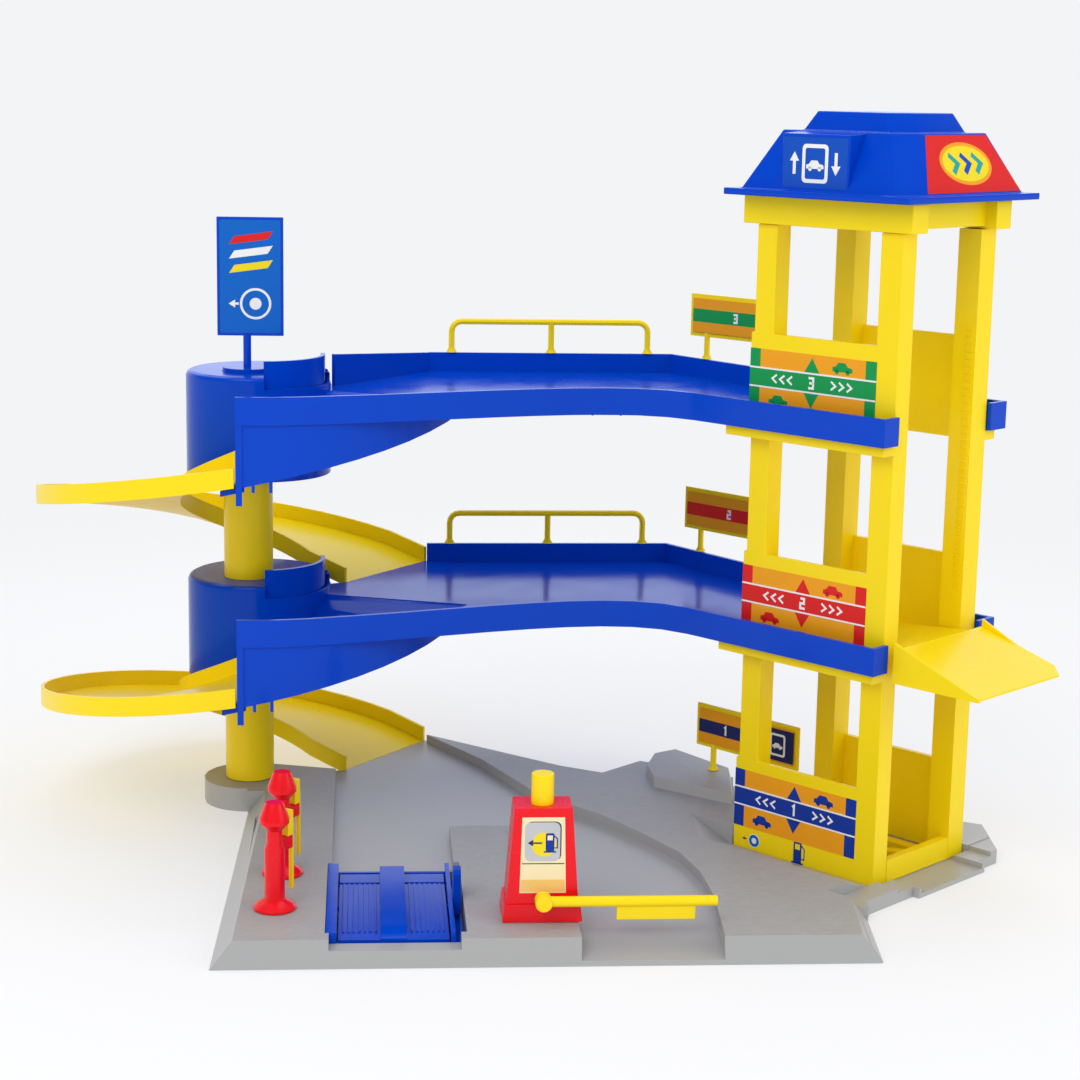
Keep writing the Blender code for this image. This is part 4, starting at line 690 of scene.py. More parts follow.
@dataclass
class Sticker:
    """A printed film on a face: flat inks in layers, each a hair above the one below."""

    name: str
    face: Face
    film: float = 0.10
    layer: float = 0.04
    sunk: float = 0.05
    prints: list[tuple[Outline, Ink, int]] = field(default_factory=list)

    def put(self, ink: Ink, layer: int, *outlines: Outline) -> None:
        """Adds flat shapes of one ink."""
        self.prints += [(outline, ink, layer) for outline in outlines]

    def put_pump(self, x: float, y: float, s: float, hole: Ink, layer: int) -> None:
        """Adds a plain fuel pump.

        Args:
            x: Its middle.
            y: Its foot.
            s: Its size.
            hole: The ink of its window.
            layer: Its layer, below the window's.
        """
        hose = [(x + 0.2 * s, y + 0.84 * s), (x + 0.36 * s, y + 0.7 * s), (x + 0.36 * s, y + 0.2 * s),
                (x + 0.2 * s, y + 0.2 * s)]
        self.put(Ink.NAVY, layer, rounded(x - 0.26 * s, y, x + 0.2 * s, y + s, 0.08 * s))
        self.put(hole, layer + 1, rectangle(x - 0.17 * s, y + 0.62 * s, x + 0.11 * s, y + 0.88 * s))
        foot = rectangle(x - 0.36 * s, y - 0.06 * s, x + 0.3 * s, y + 0.02 * s)
        self.put(Ink.NAVY, layer, foot, stroke(hose, 0.06 * s))

    def put_lift_car(self, x: float, y: float, size: float, ground: Ink) -> None:
        """Adds a car in a rounded frame.

        Args:
            x: The frame's middle.
            y: The frame's middle.
            size: The frame's height.
            ground: The ink inside the frame.
        """
        for inset, corner, ink, layer in ((0.0, 0.12, Ink.WHITE, 2), (0.1, 0.06, ground, 3)):
            half, wide = (0.5 - inset) * size, (0.42 - inset) * size
            self.put(ink, layer, rounded(x - wide, y - half, x + wide, y + half, size * corner))
        self.put(Ink.WHITE, 4, *car_pictogram(x, y - size * 0.2, size * 0.56))

    def make(self) -> None:
        """Builds the sticker's mesh and dresses it."""
        inks = list(dict.fromkeys(ink for _, ink, _ in self.prints))
        shape = bmesh.new()
        for outline, ink, layer in self.prints:
            heights = (-self.sunk, self.film + self.layer * layer)
            rings = [[self.face.point(x, y, height) for x, y in outline] for height in heights]
            for made in add_skin(shape, rings):
                made.material_index = inks.index(ink)
        bmesh.ops.recalc_face_normals(shape, faces=shape.faces)
        materials = [PrintedVinyl(ink).material() for ink in inks]
        finished(mesh_piece(self.name, shape, materials), Body.GARAGE)


@dataclass
class BaseMoulding:
    """The base with its kerbs sloped down to the ground and the low strip beside the tower."""

    layout: Layout
    left_foot: Line2 = ((-13.0, -282.0), (-6.0, -37.0))
    left_head: Line2 = ((-2.0, -282.0), (5.0, -41.0))
    right_foot: Line2 = ((319.0, -282.0), (323.8, -224.0))
    right_head: Line2 = ((309.0, -282.0), (313.8, -224.0))
    front_run: float = 3.0
    kerb: float = 14.0
    cut: Point2 = (-1.0, 21.0)
    shave: float = 0.05
    clear: float = 8.0
    side_reach: float = 60.0
    front_reach: float = 20.0
    footing: float = 27.0
    footing_from: float = 196.0
    footing_sweep: float = 74.0
    footing_front: float = 6.0
    strip: float = 30.0
    strip_low: float = 3.5
    strip_along: Point3 = (-0.75, 102.0, 135.0)
    strip_past: float = 2.0
    strip_inner: float = 0.5
    strip_above: float = 24.0

    def slope(self, name: str, foot: Line2, head: Line2, way: int) -> Piece:
        """The shape outside one sloping side of the kerbs.

        Args:
            name: The cutter's name.
            foot: The slope's lower edge, from the front to the back.
            head: Its upper edge.
            way: 1 when the outside is to the right, -1 when it is to the left.

        Returns:
            The cutter.
        """
        rings = []
        low, high = self.cut
        for (foot_x, foot_y), (head_x, head_y), move in zip(foot, head, (-self.clear, 0.0)):
            lean = (head_x - foot_x) / self.kerb
            inner, away = -self.shave * way, foot_x + self.side_reach * way
            ring = [
                (foot_x + inner + lean * low, foot_y, low),
                (head_x + inner + lean * (high - self.kerb), head_y, high),
                (away, head_y, high), (away, foot_y, low),
            ]
            rings.append([self.layout.garage.point(x, y + move, z) for x, y, z in ring])
        return loft(name, rings, Slot.GREY)

    def front_slope(self) -> Piece:
        """The shape in front of the sloping front of the kerbs."""
        lean = self.front_run / self.kerb
        foot_y = self.left_foot[0][1] + self.shave
        low, high = self.cut
        away = foot_y - self.front_reach
        section = [(foot_y + lean * low, low), (foot_y + lean * high, high), (away, high), (away, low)]
        ends = (self.left_foot[0][0] - self.front_reach, self.right_foot[0][0] + self.front_reach)
        return self.layout.garage.prism("front_slope", section, ends, 0, Slot.GREY)

    def footing_side(self) -> Piece:
        """The shape outside the round footing of the column."""
        points = arc(*self.layout.column_at, self.footing, self.footing_from, self.footing_sweep, 12)
        foot_x, foot_y = self.left_foot[1]
        front, side = foot_y - self.footing_front, foot_x - self.side_reach
        points += [(foot_x, front), (side, front), (side, points[0][1])]
        return self.layout.garage.prism("footing_side", points, self.cut, 2, Slot.GREY)

    def tower_strip(self) -> Piece:
        """The shape over the strip that slopes down to the tower's side."""
        inner, outer, above = self.strip_inner, -self.strip - self.strip_past, self.strip_above
        outer_low = self.kerb + (self.kerb - self.strip_low) * self.strip_past / self.strip
        rings = []
        for along, low in zip(self.strip_along, (self.strip_low, self.strip_low, outer_low)):
            section = ((inner, low), (inner, above), (outer, above), (outer, outer_low))
            rings.append([self.layout.tower.point(x, along, z) for x, z in section])
        return loft("tower_strip", rings, Slot.GREY)

    def build(self) -> None:
        """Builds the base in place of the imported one."""
        cutters = [
            self.slope("left_slope", self.left_foot, self.left_head, -1),
            self.slope("right_slope", self.right_foot, self.right_head, 1),
            self.front_slope(), self.footing_side(), self.tower_strip(),
        ]
        base = carved("base_moulding", "base_plate", cutters)
        finished(base, Body.GARAGE, wear(base, "base_plate", EDGE), "base_plate")


@dataclass
class Crown:
    """The yellow beams and lintels that tie the tower's posts below the roof."""

    tower: Frame
    width: float = 84.0
    beam: float = 14.0
    side: float = 3.0
    along: Point2 = (-4.0, 106.0)
    heights: Point2 = (353.0, 368.0)
    lintel_low: float = 354.5
    lintel_drop: float = 0.3
    lintel: float = 3.0
    lintels: Point2 = (3.0, 95.0)
    bite: float = 1.0
    edge: float = 0.6

    def build(self) -> None:
        """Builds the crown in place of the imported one."""
        (low, high), (near, far) = self.heights, self.along
        inside = self.beam - self.side - self.bite
        shape = bmesh.new()
        for left in (-self.side, self.width + self.side - self.beam):
            self.tower.add_box(shape, (left, near, low), (left + self.beam, far, high))
        for start in self.lintels:
            end = (self.width - inside, start + self.lintel, high - self.lintel_drop)
            self.tower.add_box(shape, (inside, start, self.lintel_low), end)
        crown = mesh_piece("crown_beams", shape, [plastic_of(Slot.YELLOW)])
        round_edges(crown, self.edge, 3)
        finished(crown, Body.GARAGE, Slot.YELLOW, "tower_crown")


@dataclass
class FlapKerbs:
    """The two raised sides of the lift's flap, highest where the flap meets the lift."""

    tower: Frame
    tips: Point2 = (-54.0, -44.0)
    tip_heights: Point2 = (118.6, 120.8)
    root: float = -3.0
    root_heights: Point2 = (134.0, 140.0)
    sides: Line2 = ((-0.05, 2.0), (82.0, 84.05))
    edge: float = 0.4

    def build(self) -> None:
        """Builds one kerb for each side."""
        (tip_low, tip_high), (root_low, root_high) = self.tip_heights, self.root_heights
        for number, (tip, span) in enumerate(zip(self.tips, self.sides), 1):
            profile = [(tip, tip_low), (self.root, root_low), (self.root, root_high), (tip, tip_high)]
            kerb = self.tower.prism(f"flap_kerb_{number}", profile, span, 0, Slot.YELLOW)
            round_edges(kerb, self.edge)
            finished(kerb, Body.LIFT, Slot.YELLOW)


@dataclass
class ClosingWall:
    """The raised wall that closes the highest deck between its back rail and the drum."""

    layout: Layout
    start: Point2 = (50.7, 20.3)
    run: Point2 = (49.3, 63.1)
    sides: Point2 = (-2.6, 0.15)
    foot: float = 247.3
    heads: Line2 = ((-13.5, 266.0), (80.2, 258.9))
    edge: float = 0.4

    def build(self) -> None:
        """Builds the wall, which falls towards the rail."""
        frame = self.layout.garage.turned(*self.start, math.atan2(self.run[1], self.run[0]))
        rings = [
            [frame.point(along, y, z) for y, z in rectangle(self.sides[0], self.foot, self.sides[1], head)]
            for along, head in self.heads
        ]
        wall = loft("deck_3_closing_wall", rings, Slot.BLUE)
        round_edges(wall, self.edge)
        finished(wall, Body.GARAGE, Slot.BLUE)


@dataclass
class Pumps:
    """The fuel pumps, turned so that their hoses hang on the side away from the lane."""

    layout: Layout
    front: Point2 = (17.4, -235.0)
    rear: Point2 = (19.4, -183.0)
    turn: float = math.radians(55.0)
    edge: float = 0.3

    def build(self) -> None:
        """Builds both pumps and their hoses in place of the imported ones."""
        for side, place in (("front", self.front), ("rear", self.rear)):
            axis = self.layout.garage.point(*place, 0.0)
            turn = Matrix.Translation(axis) @ Matrix.Rotation(self.turn, 4, "Z") @ Matrix.Translation(-axis)
            for kind in ("pump", "hose"):
                node_name = f"fuel_{kind}_{side}"
                piece = carved(f"turned_{kind}_{side}", node_name)
                piece.data.transform(turn)
                finished(piece, Body.GARAGE, wear(piece, node_name, self.edge), node_name)


@dataclass
class DeckRibs:
    """The crossed stiffening ribs moulded under the flat part of each upper deck."""

    layout: Layout
    floors: Point2 = (126.5, 247.5)
    slab: float = 2.5
    bite: float = 0.1
    depth: float = 4.0
    thick: float = 1.2
    lower: float = 0.3
    start: Point2 = (142.0, -62.0)
    pitches: Point2 = (16.0, 24.8)
    count: int = 6

    def tree(self) -> Tree:
        """A row of equal ribs: a line of points, a box on each, made real and given its plastic."""
        tree = bpy.data.node_groups.new("rib_row", "GeometryNodeTree")
        kinds = {"Start": "Vector", "Step": "Vector", "Count": "Int", "Rib Size": "Vector",
                 "Plastic": "Material"}
        for name, kind in kinds.items():
            tree.interface.new_socket(name, in_out="INPUT", socket_type=f"NodeSocket{kind}")
        tree.interface.new_socket("Ribs", in_out="OUTPUT", socket_type="NodeSocketGeometry")
        given = add_node(tree, "NodeGroupInput").outputs
        line = add_node(
            tree, "GeometryNodeMeshLine",
            {"Count": given["Count"], "Start Location": given["Start"], "Offset": given["Step"]},
        )
        rib = add_node(tree, "GeometryNodeMeshCube", {"Size": given["Rib Size"]})
        placed = add_node(
            tree, "GeometryNodeInstanceOnPoints", {"Points": line.outputs[0], "Instance": rib.outputs[0]}
        )
        real = add_node(tree, "GeometryNodeRealizeInstances", {0: placed.outputs[0]})
        dressed = add_node(
            tree, "GeometryNodeSetMaterial", {"Geometry": real.outputs[0], "Material": given["Plastic"]}
        )
        add_node(tree, "NodeGroupOutput", {0: dressed.outputs[0]})
        return tree

    def row(
        self, tree: Tree, start: Sequence[float], step: Sequence[float], size: Sequence[float]
    ) -> bpy.types.Mesh:
        """Evaluates one row of ribs.

        Args:
            tree: The rib tree.
            start: The first rib's middle.
            step: From each rib to the next.
            size: One rib's size.

        Returns:
            Its mesh.
        """
        holder = bpy.data.objects.new("rib_row", bpy.data.meshes.new("rib_row"))
        bpy.context.scene.collection.objects.link(holder)
        ribs = holder.modifiers.new("ribs", "NODES")
        ribs.node_group = tree
        values = {
            "Start": self.layout.garage.point(*start), "Step": Vector(step) * MM, "Count": self.count,
            "Rib Size": Vector(size) * MM, "Plastic": plastic_of(Slot.BLUE),
        }
        for item in tree.interface.items_tree:
            if item.in_out == "INPUT":
                ribs[item.identifier] = values[item.name]
        graph = bpy.context.evaluated_depsgraph_get()
        mesh = bpy.data.meshes.new_from_object(holder.evaluated_get(graph))
        bpy.data.objects.remove(holder)
        return mesh

    def build(self) -> None:
        """Builds the ribs of both decks as one piece, with the cross ribs a little lower."""
        tree, shape = self.tree(), bmesh.new()
        (x, y), (x_step, y_step) = self.start, self.pitches
        x_reach, y_reach = [pitch * (self.count - 1) for pitch in self.pitches]
        thick, depth, lower = self.thick, self.depth, self.lower
        for floor in self.floors:
            z = floor - self.slab - depth / 2 + self.bite
            shape.from_mesh(self.row(
                tree, (x, y + y_reach / 2, z), (x_step, 0.0, 0.0), (thick, y_reach + thick, depth)
            ))
            shape.from_mesh(self.row(
                tree, (x + x_reach / 2, y, z + lower / 2), (0.0, y_step, 0.0),
                (x_reach + thick, thick, depth - lower),
            ))
        finished(mesh_piece("deck_ribs", shape, [plastic_of(Slot.BLUE)]), Body.GARAGE, Slot.BLUE)


@dataclass
class LevelPanels:
    """The wide stickers on the tower's side, one for each level."""

    tower: Frame
    length: float = 84.0
    height: float = 33.0
    near_end: float = 16.0
    tops: Point3 = (49.0, 166.0, 286.0)
    inks: tuple[Ink, Ink, Ink] = (Ink.NAVY, Ink.SCARLET, Ink.GREEN)
    bar: float = 7.0
    band: Point2 = (13.0, 22.3)
    line: float = 0.9
    diamond: Point2 = (8.5, 13.5)
    numeral_gap: float = 1.3
    chevron_from: float = 13.0
    chevron_pitch: float = 5.2
    chevron_reach: float = 3.0
    chevron_gap: float = 2.4
    chevron_width: float = 1.1
    car: float = 13.0
    upper_car: Point2 = (15.0, 1.6)
    lower_car: Point2 = (13.0, 2.2)

    def chevrons(self, middle: float) -> list[Outline]:
        """Three chevrons on each side of the numeral, which point away from it."""
        low, high = self.band
        centre, rise = (low + high) / 2, (high - low) / 2 - self.chevron_gap
        return [
            chevron(middle + side * (self.chevron_from + step * self.chevron_pitch), centre,
                    side * self.chevron_reach, rise, self.chevron_width)
            for side in (-1, 1) for step in range(3)
        ]

    def build(self) -> None:
        """Builds the three stickers."""
        length, height, bar, (low, high) = self.length, self.height, self.bar, self.band
        middle, centre = length / 2, (low + high) / 2
        wide, tall = self.diamond
        (upper_x, upper_y), (lower_x, lower_y) = self.upper_car, self.lower_car
        for number, (top, ink) in enumerate(zip(self.tops, self.inks), 1):
            face = self.tower.side(0.0, self.near_end + length, top - height)
            sticker = Sticker(f"level_panel_sticker_{number}", face)
            sticker.put(Ink.AMBER, 0, rectangle(0.0, 0.0, length, height))
            sticker.put(ink, 1, *[rectangle(x, 0.0, x + bar, height) for x in (0.0, length - bar)])
            sticker.put(ink, 2, [
                (middle - wide, centre), (middle, centre - tall), (middle + wide, centre),
                (middle, centre + tall),
            ])
            sticker.put(ink, 3, rectangle(0.0, low, length, high))
            lines = [rectangle(0.0, y, length, y + self.line) for y in (low - self.line, high)]
            tall_numeral = high - low - 2 * self.numeral_gap
            sticker.put(Ink.WHITE, 4, *lines)
            sticker.put(Ink.WHITE, 4, *numeral(number, middle, low + self.numeral_gap, tall_numeral))
            sticker.put(Ink.WHITE, 4, *self.chevrons(middle))
            sticker.put(ink, 1, *car_pictogram(length - bar - upper_x, high + upper_y, self.car))
            sticker.put(ink, 1, *car_pictogram(bar + lower_x, lower_y, self.car))
            sticker.make()


@dataclass
class GroundSigns:
    """The two small printed signs at the foot of the tower's side."""

    tower: Frame
    far_end: float = 100.0
    ring_at: Point2 = (15.0, 9.2)
    ring: Point3 = (3.9, 3.5, 1.7)
    arrow_span: Point2 = (5.2, 8.4)
    arrow_size: Point2 = (0.6, 2.0)
    pump_at: Point2 = (46.0, 4.4)
    pump: float = 12.0

    def build(self) -> None:
        """Builds the ring with its arrow and the fuel pump."""
        sticker = Sticker("ground_signs", self.tower.side(0.0, self.far_end, 0.0), film=0.08)
        x, y = self.ring_at
        for layer, (radius, ink) in enumerate(zip(self.ring, (Ink.WHITE, Ink.SKY, Ink.WHITE))):
            sticker.put(ink, layer, disc(x, y, radius))
        start, end = [(x - out, y) for out in self.arrow_span]
        sticker.put(Ink.MIDNIGHT, 0, arrow(start, end, *self.arrow_size))
        sticker.put_pump(*self.pump_at, self.pump, Ink.LEMON, 0)
        sticker.make()


@dataclass
class LevelBoards:
    """The small boards on posts that point to each level."""

    tower: Frame
    inks: tuple[Ink, Ink, Ink] = (Ink.MIDNIGHT, Ink.SCARLET, Ink.GREEN)
    height: float = 26.0
    board_part: float = 20.0
    margin: float = 2.6
    split: float = 0.60
    half_band: float = 4.0
    head: float = 8.0
    half_head: float = 8.4
    numeral_gap: float = 1.0
    lift_margin: float = 3.4
    arrow_reach: float = 6.2
    arrow_size: Point2 = (0.8, 2.6)
    lift_car: float = 13.5
    lift_car_right: float = 2.4

    def build(self) -> None:
        """Builds one sticker for each board, on the side that its node has towards low x."""
        back, m, height = self.tower.matrix.inverted(), self.margin, self.height
        for number, ink in enumerate(self.inks, 1):
            node = bpy.data.objects[f"level_{number}_sign"]
            points = [(back @ v.co) / MM for v in node.data.vertices]
            top = max(p.z for p in points)
            board = [p for p in points if p.z > top - self.board_part]
            low_y, high_y = min(p.y for p in board), max(p.y for p in board)
            face = self.tower.side(min(p.x for p in board), high_y, top - height)
            sticker = Sticker(f"level_board_sticker_{number}", face)
            length = high_y - low_y
            sticker.put(Ink.AMBER, 0, rectangle(m, m, length - m, height - m))
            if number == 1:
                self.band(sticker, number, m, length * self.split - m, ink)
                self.lift_board(sticker, length * self.split, length - m)
            else:
                self.band(sticker, number, m, length - m, ink)
            sticker.make()

    def band(self, sticker: Sticker, number: int, x0: float, x1: float, ink: Ink) -> None:
        """Prints the coloured band with its arrow head and the level's numeral.

        Args:
            sticker: The sticker that gets it.
            number: The level.
            x0: The band's left end.
            x1: The tip of its arrow.
            ink: The band's colour.
        """
        middle, half, neck = self.height / 2, self.half_band, x1 - self.head
        sticker.put(ink, 1, rectangle(x0, middle - half, neck, middle + half))
        sticker.put(
            ink, 1, [(neck, middle - self.half_head), (x1, middle), (neck, middle + self.half_head)]
        )
        tall = 2 * (half - self.numeral_gap)
        sticker.put(Ink.WHITE, 2, *numeral(number, (x0 + x1) / 2, middle - tall / 2, tall))

    def lift_board(self, sticker: Sticker, x0: float, x1: float) -> None:
        """Prints the lift's pictogram: a car in a frame beside a two-way arrow."""
        inset, middle = self.lift_margin, self.height / 2
        x = x0 + inset
        sticker.put(Ink.MIDNIGHT, 1, rectangle(x0, inset, x1, self.height - inset))
        for reach in (self.arrow_reach, -self.arrow_reach):
            sticker.put(Ink.WHITE, 2, arrow((x, middle), (x, middle + reach), *self.arrow_size))
        car_x = (x0 + x1) / 2 + self.lift_car_right
        sticker.put_lift_car(car_x, middle, self.lift_car, Ink.MIDNIGHT)


@dataclass
class Roof:
    """The blue two-tiered roof: a hollow shell with a brim, a sign box and two stickers."""

    tower: Frame
    across: Point2 = (-16.0, 104.0)
    along: Point2 = (-10.0, 110.0)
    bottom: float = 368.3
    brim: float = 3.5
    brim_corner: float = 0.05
    wall: float = 2.0
    insets: Point2 = (6.8, 7.7)
    slopes: Point2 = (15.0, 5.0)
    rises: Point2 = (31.0, 10.0)
    corner: Point2 = (19.0, 6.0)
    box_along: Point2 = (33.5, 77.0)
    box_rise: float = 30.5
    box_back: float = 0.4
    box_out: float = 1.0
    sign_height: float = 28.0
    sign_car: float = 20.0
    sign_margins: Point3 = (1.0, 0.8, 0.2)
    sign_car_up: float = 0.4
    sign_arrows: Point2 = (13.5, 0.5)
    arrow_reach: float = 5.8
    arrow_size: Point2 = (1.9, 6.0)
    panel_margin: float = 1.1
    ovals: Line2 = ((46.0, 24.0), (41.0, 20.0))
    chevron_pitch: float = 10.5
    chevron_size: Point3 = (6.0, 5.2, 3.2)
    edge: float = 0.7
    edge_from: float = 20.0
    box_edge: float = 0.6

    def ring(self, inset: float, height: float, cut: float = 1.0) -> list[Vector]:
        """One level of the roof: a rectangle whose near corner is cut off.

        Args:
            inset: How far it is drawn in from the brim's edge.
            height: Its height.
            cut: How much of the full corner is cut off.

        Returns:
            Its points in the model's frame.
        """
        x0, x1 = self.across[0] + inset, self.across[1] - inset
        y0, y1 = self.along[0] + inset, self.along[1] - inset
        dx, dy = self.corner[0] * cut, self.corner[1] * cut
        points = [(x0 + dx, y0), (x1, y0), (x1, y1), (x0, y1), (x0, y0 + dy)]
        return [self.tower.point(x, y, height) for x, y in points]

    def build(self) -> None:
        """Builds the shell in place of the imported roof, then the box and both stickers."""
        top, wall = self.bottom + self.brim, self.wall
        first, second = self.insets[0], sum(self.insets) + self.slopes[0]
        middle, head = top + self.rises[0], top + sum(self.rises)
        tiers = [
            (first, top), (first + self.slopes[0], middle), (second, middle),
            (second + self.slopes[1], head),
        ]
        rings = [self.ring(inset + wall, height - wall) for inset, height in reversed(tiers)]
        rings.append(self.ring(first + wall, self.bottom))
        rings += [self.ring(0.0, height, self.brim_corner) for height in (self.bottom, top)]
        rings += [self.ring(inset, height) for inset, height in tiers]
        shell = loft("roof_shell", rings, Slot.BLUE)
        round_edges(shell, self.edge, 3, self.edge_from)
        finished(shell, Body.GARAGE, Slot.BLUE, "roof")
        self.sign_box()
        self.lift_sign()
        self.red_panel()

    def sign_box(self) -> None:
        """Builds the upright box on the slope towards the ramps."""
        top, edge = self.bottom + self.brim, self.across[0] + self.insets[0]
        low, face, back = top - self.wall / 2, edge + self.box_out, edge + self.slopes[0] + self.wall
        section = [
            (face, low), (back, low), (back, top + self.rises[0] - self.box_back),
            (face, low + self.box_rise),
        ]
        box = self.tower.prism("roof_sign_box", section, self.box_along, 1, Slot.BLUE)
        round_edges(box, self.box_edge, 3)
        finished(box, Body.GARAGE, Slot.BLUE)

    def lift_sign(self) -> None:
        """Builds the pictogram on the upright box."""
        x = self.across[0] + self.insets[0] + self.box_out
        near, far = self.box_along
        sticker = Sticker("roof_lift_sign", self.tower.side(x, far, self.bottom + self.brim))
        width, height, reach = far - near, self.sign_height, self.arrow_reach
        (side_margin, low_margin, top_margin), (out, raised) = self.sign_margins, self.sign_arrows
        ground = rectangle(side_margin, low_margin, width - side_margin, height - top_margin)
        sticker.put(Ink.COBALT, 0, ground)
        sticker.put_lift_car(width / 2, height / 2 + self.sign_car_up, self.sign_car, Ink.COBALT)
        for side in (-1, 1):
            x, y = width / 2 + side * out, height / 2 + raised
            ends = (x, y + side * reach), (x, y - side * reach)
            sticker.put(Ink.WHITE, 2, arrow(*ends, *self.arrow_size))
        sticker.make()

    def red_panel(self) -> None:
        """Builds the panel that covers the slope above the lift's mouth."""
        first, slope, rise = self.insets[0], self.slopes[0], self.rises[0]
        corner = self.tower.point(0.0, self.along[0] + first, self.bottom + self.brim)
        face = Face(corner, self.tower.way(1.0, 0.0, 0.0), self.tower.way(0.0, slope, rise))
        left, right = self.across[0] + first + self.corner[0], self.across[1] - first
        slant, margin = math.hypot(slope, rise), self.panel_margin
        sticker = Sticker("roof_red_panel", face)
        sticker.put(Ink.SCARLET, 0, [
            (left + margin, margin), (right - margin, margin), (right - slope - margin, slant - margin),
            (left + slope + margin, slant - margin),
        ])
        cx, cy = (left + right) / 2, slant / 2
        for layer, ((wide, tall), ink) in enumerate(zip(self.ovals, (Ink.AMBER, Ink.LEMON)), 1):
            sticker.put(ink, layer, [(cx + x * wide, cy + y * tall) for x, y in disc(0.0, 0.0, 0.5, 48)])
        for number, ink in enumerate((Ink.TEAL, Ink.COBALT, Ink.TEAL), -1):
            x = cx + number * self.chevron_pitch - self.chevron_size[0] / 2
            sticker.put(ink, 3, chevron(x, cy, *self.chevron_size))
        sticker.make()


@dataclass
class ParkingSign:
    """The tall sign above the highest drum, with its printed face."""

    layout: Layout
    size: Point2 = (38.0, 68.0)
    margin: float = 1.6
    corner: float = 1.2
    edge: float = 0.3
    facets: int = 48
    post: float = 2.3
    post_in: float = 1.0
    plug: float = 14.3
    plug_height: float = 14.0
    ring_at: Point2 = (22.0, 18.5)
    ring: Point3 = (9.0, 7.6, 3.4)
    arrow_span: Point2 = (9.6, 15.4)
    arrow_size: Point2 = (1.3, 4.6)
    bars_from: float = 36.0
    bars_pitch: float = 8.2
    bar: tuple[Point2, ...] = ((7.0, 0.0), (29.0, 3.0), (32.0, 7.6), (10.0, 4.6))

    def board(self, low: Sequence[float], high: Sequence[float], foot: float) -> None:
        """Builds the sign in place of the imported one: its board, and its post on the plug below.

        Args:
            low: The board's lowest corner.
            high: Its highest corner.
            foot: The height of the plug's underside.
        """
        shape = bmesh.new()
        Frame(Matrix.Identity(4)).add_box(shape, low, high)
        post = (self.post, foot + self.plug_height / 2, low[2] + self.post_in)
        for radius, bottom, top in (post, (self.plug, foot, foot + self.plug_height)):
            middle = self.layout.garage.point(*self.layout.column_at, (bottom + top) / 2)
            bmesh.ops.create_cone(
                shape, cap_ends=True, segments=self.facets, radius1=radius * MM,
                radius2=radius * MM, depth=(top - bottom) * MM, matrix=Matrix.Translation(middle),
            )
        sign = mesh_piece("parking_board", shape, [plastic_of(Slot.BLUE)])
        round_edges(sign, self.edge)
        finished(sign, Body.GARAGE, Slot.BLUE, "parking_sign")

    def build(self) -> None:
        """Builds the board, and its front sticker: slanted bars above, a ring with an arrow below."""
        width, height = self.size
        foot, top = [corner.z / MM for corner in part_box("parking_sign")]
        points = [v.co / MM for v in bpy.data.objects["parking_sign"].data.vertices]
        board = [p for p in points if p.z > top - height / 2]
        left, front, back = min(p.x for p in board), min(p.y for p in board), max(p.y for p in board)
        low = Vector((left, front, top - height))
        self.board(low, (left + width, back, top), foot)
        sticker = Sticker("parking_sign_face", Face(low * MM, Vector((1.0, 0.0, 0.0)), UP))
        m, (cx, cy) = self.margin, self.ring_at
        sticker.put(Ink.SKY, 0, rounded(m, m, width - m, height - m, self.corner))
        for layer, (radius, ink) in enumerate(zip(self.ring, (Ink.WHITE, Ink.SKY, Ink.WHITE)), 1):
            sticker.put(ink, layer, disc(cx, cy, radius))
        start, end = [(cx - out, cy) for out in self.arrow_span]
        sticker.put(Ink.WHITE, 1, arrow(start, end, *self.arrow_size))
        for number, ink in enumerate((Ink.LEMON, Ink.WHITE, Ink.SCARLET)):
            y = self.bars_from + number * self.bars_pitch
            sticker.put(ink, 1, [(x, y + rise) for x, rise in self.bar])
        sticker.make()


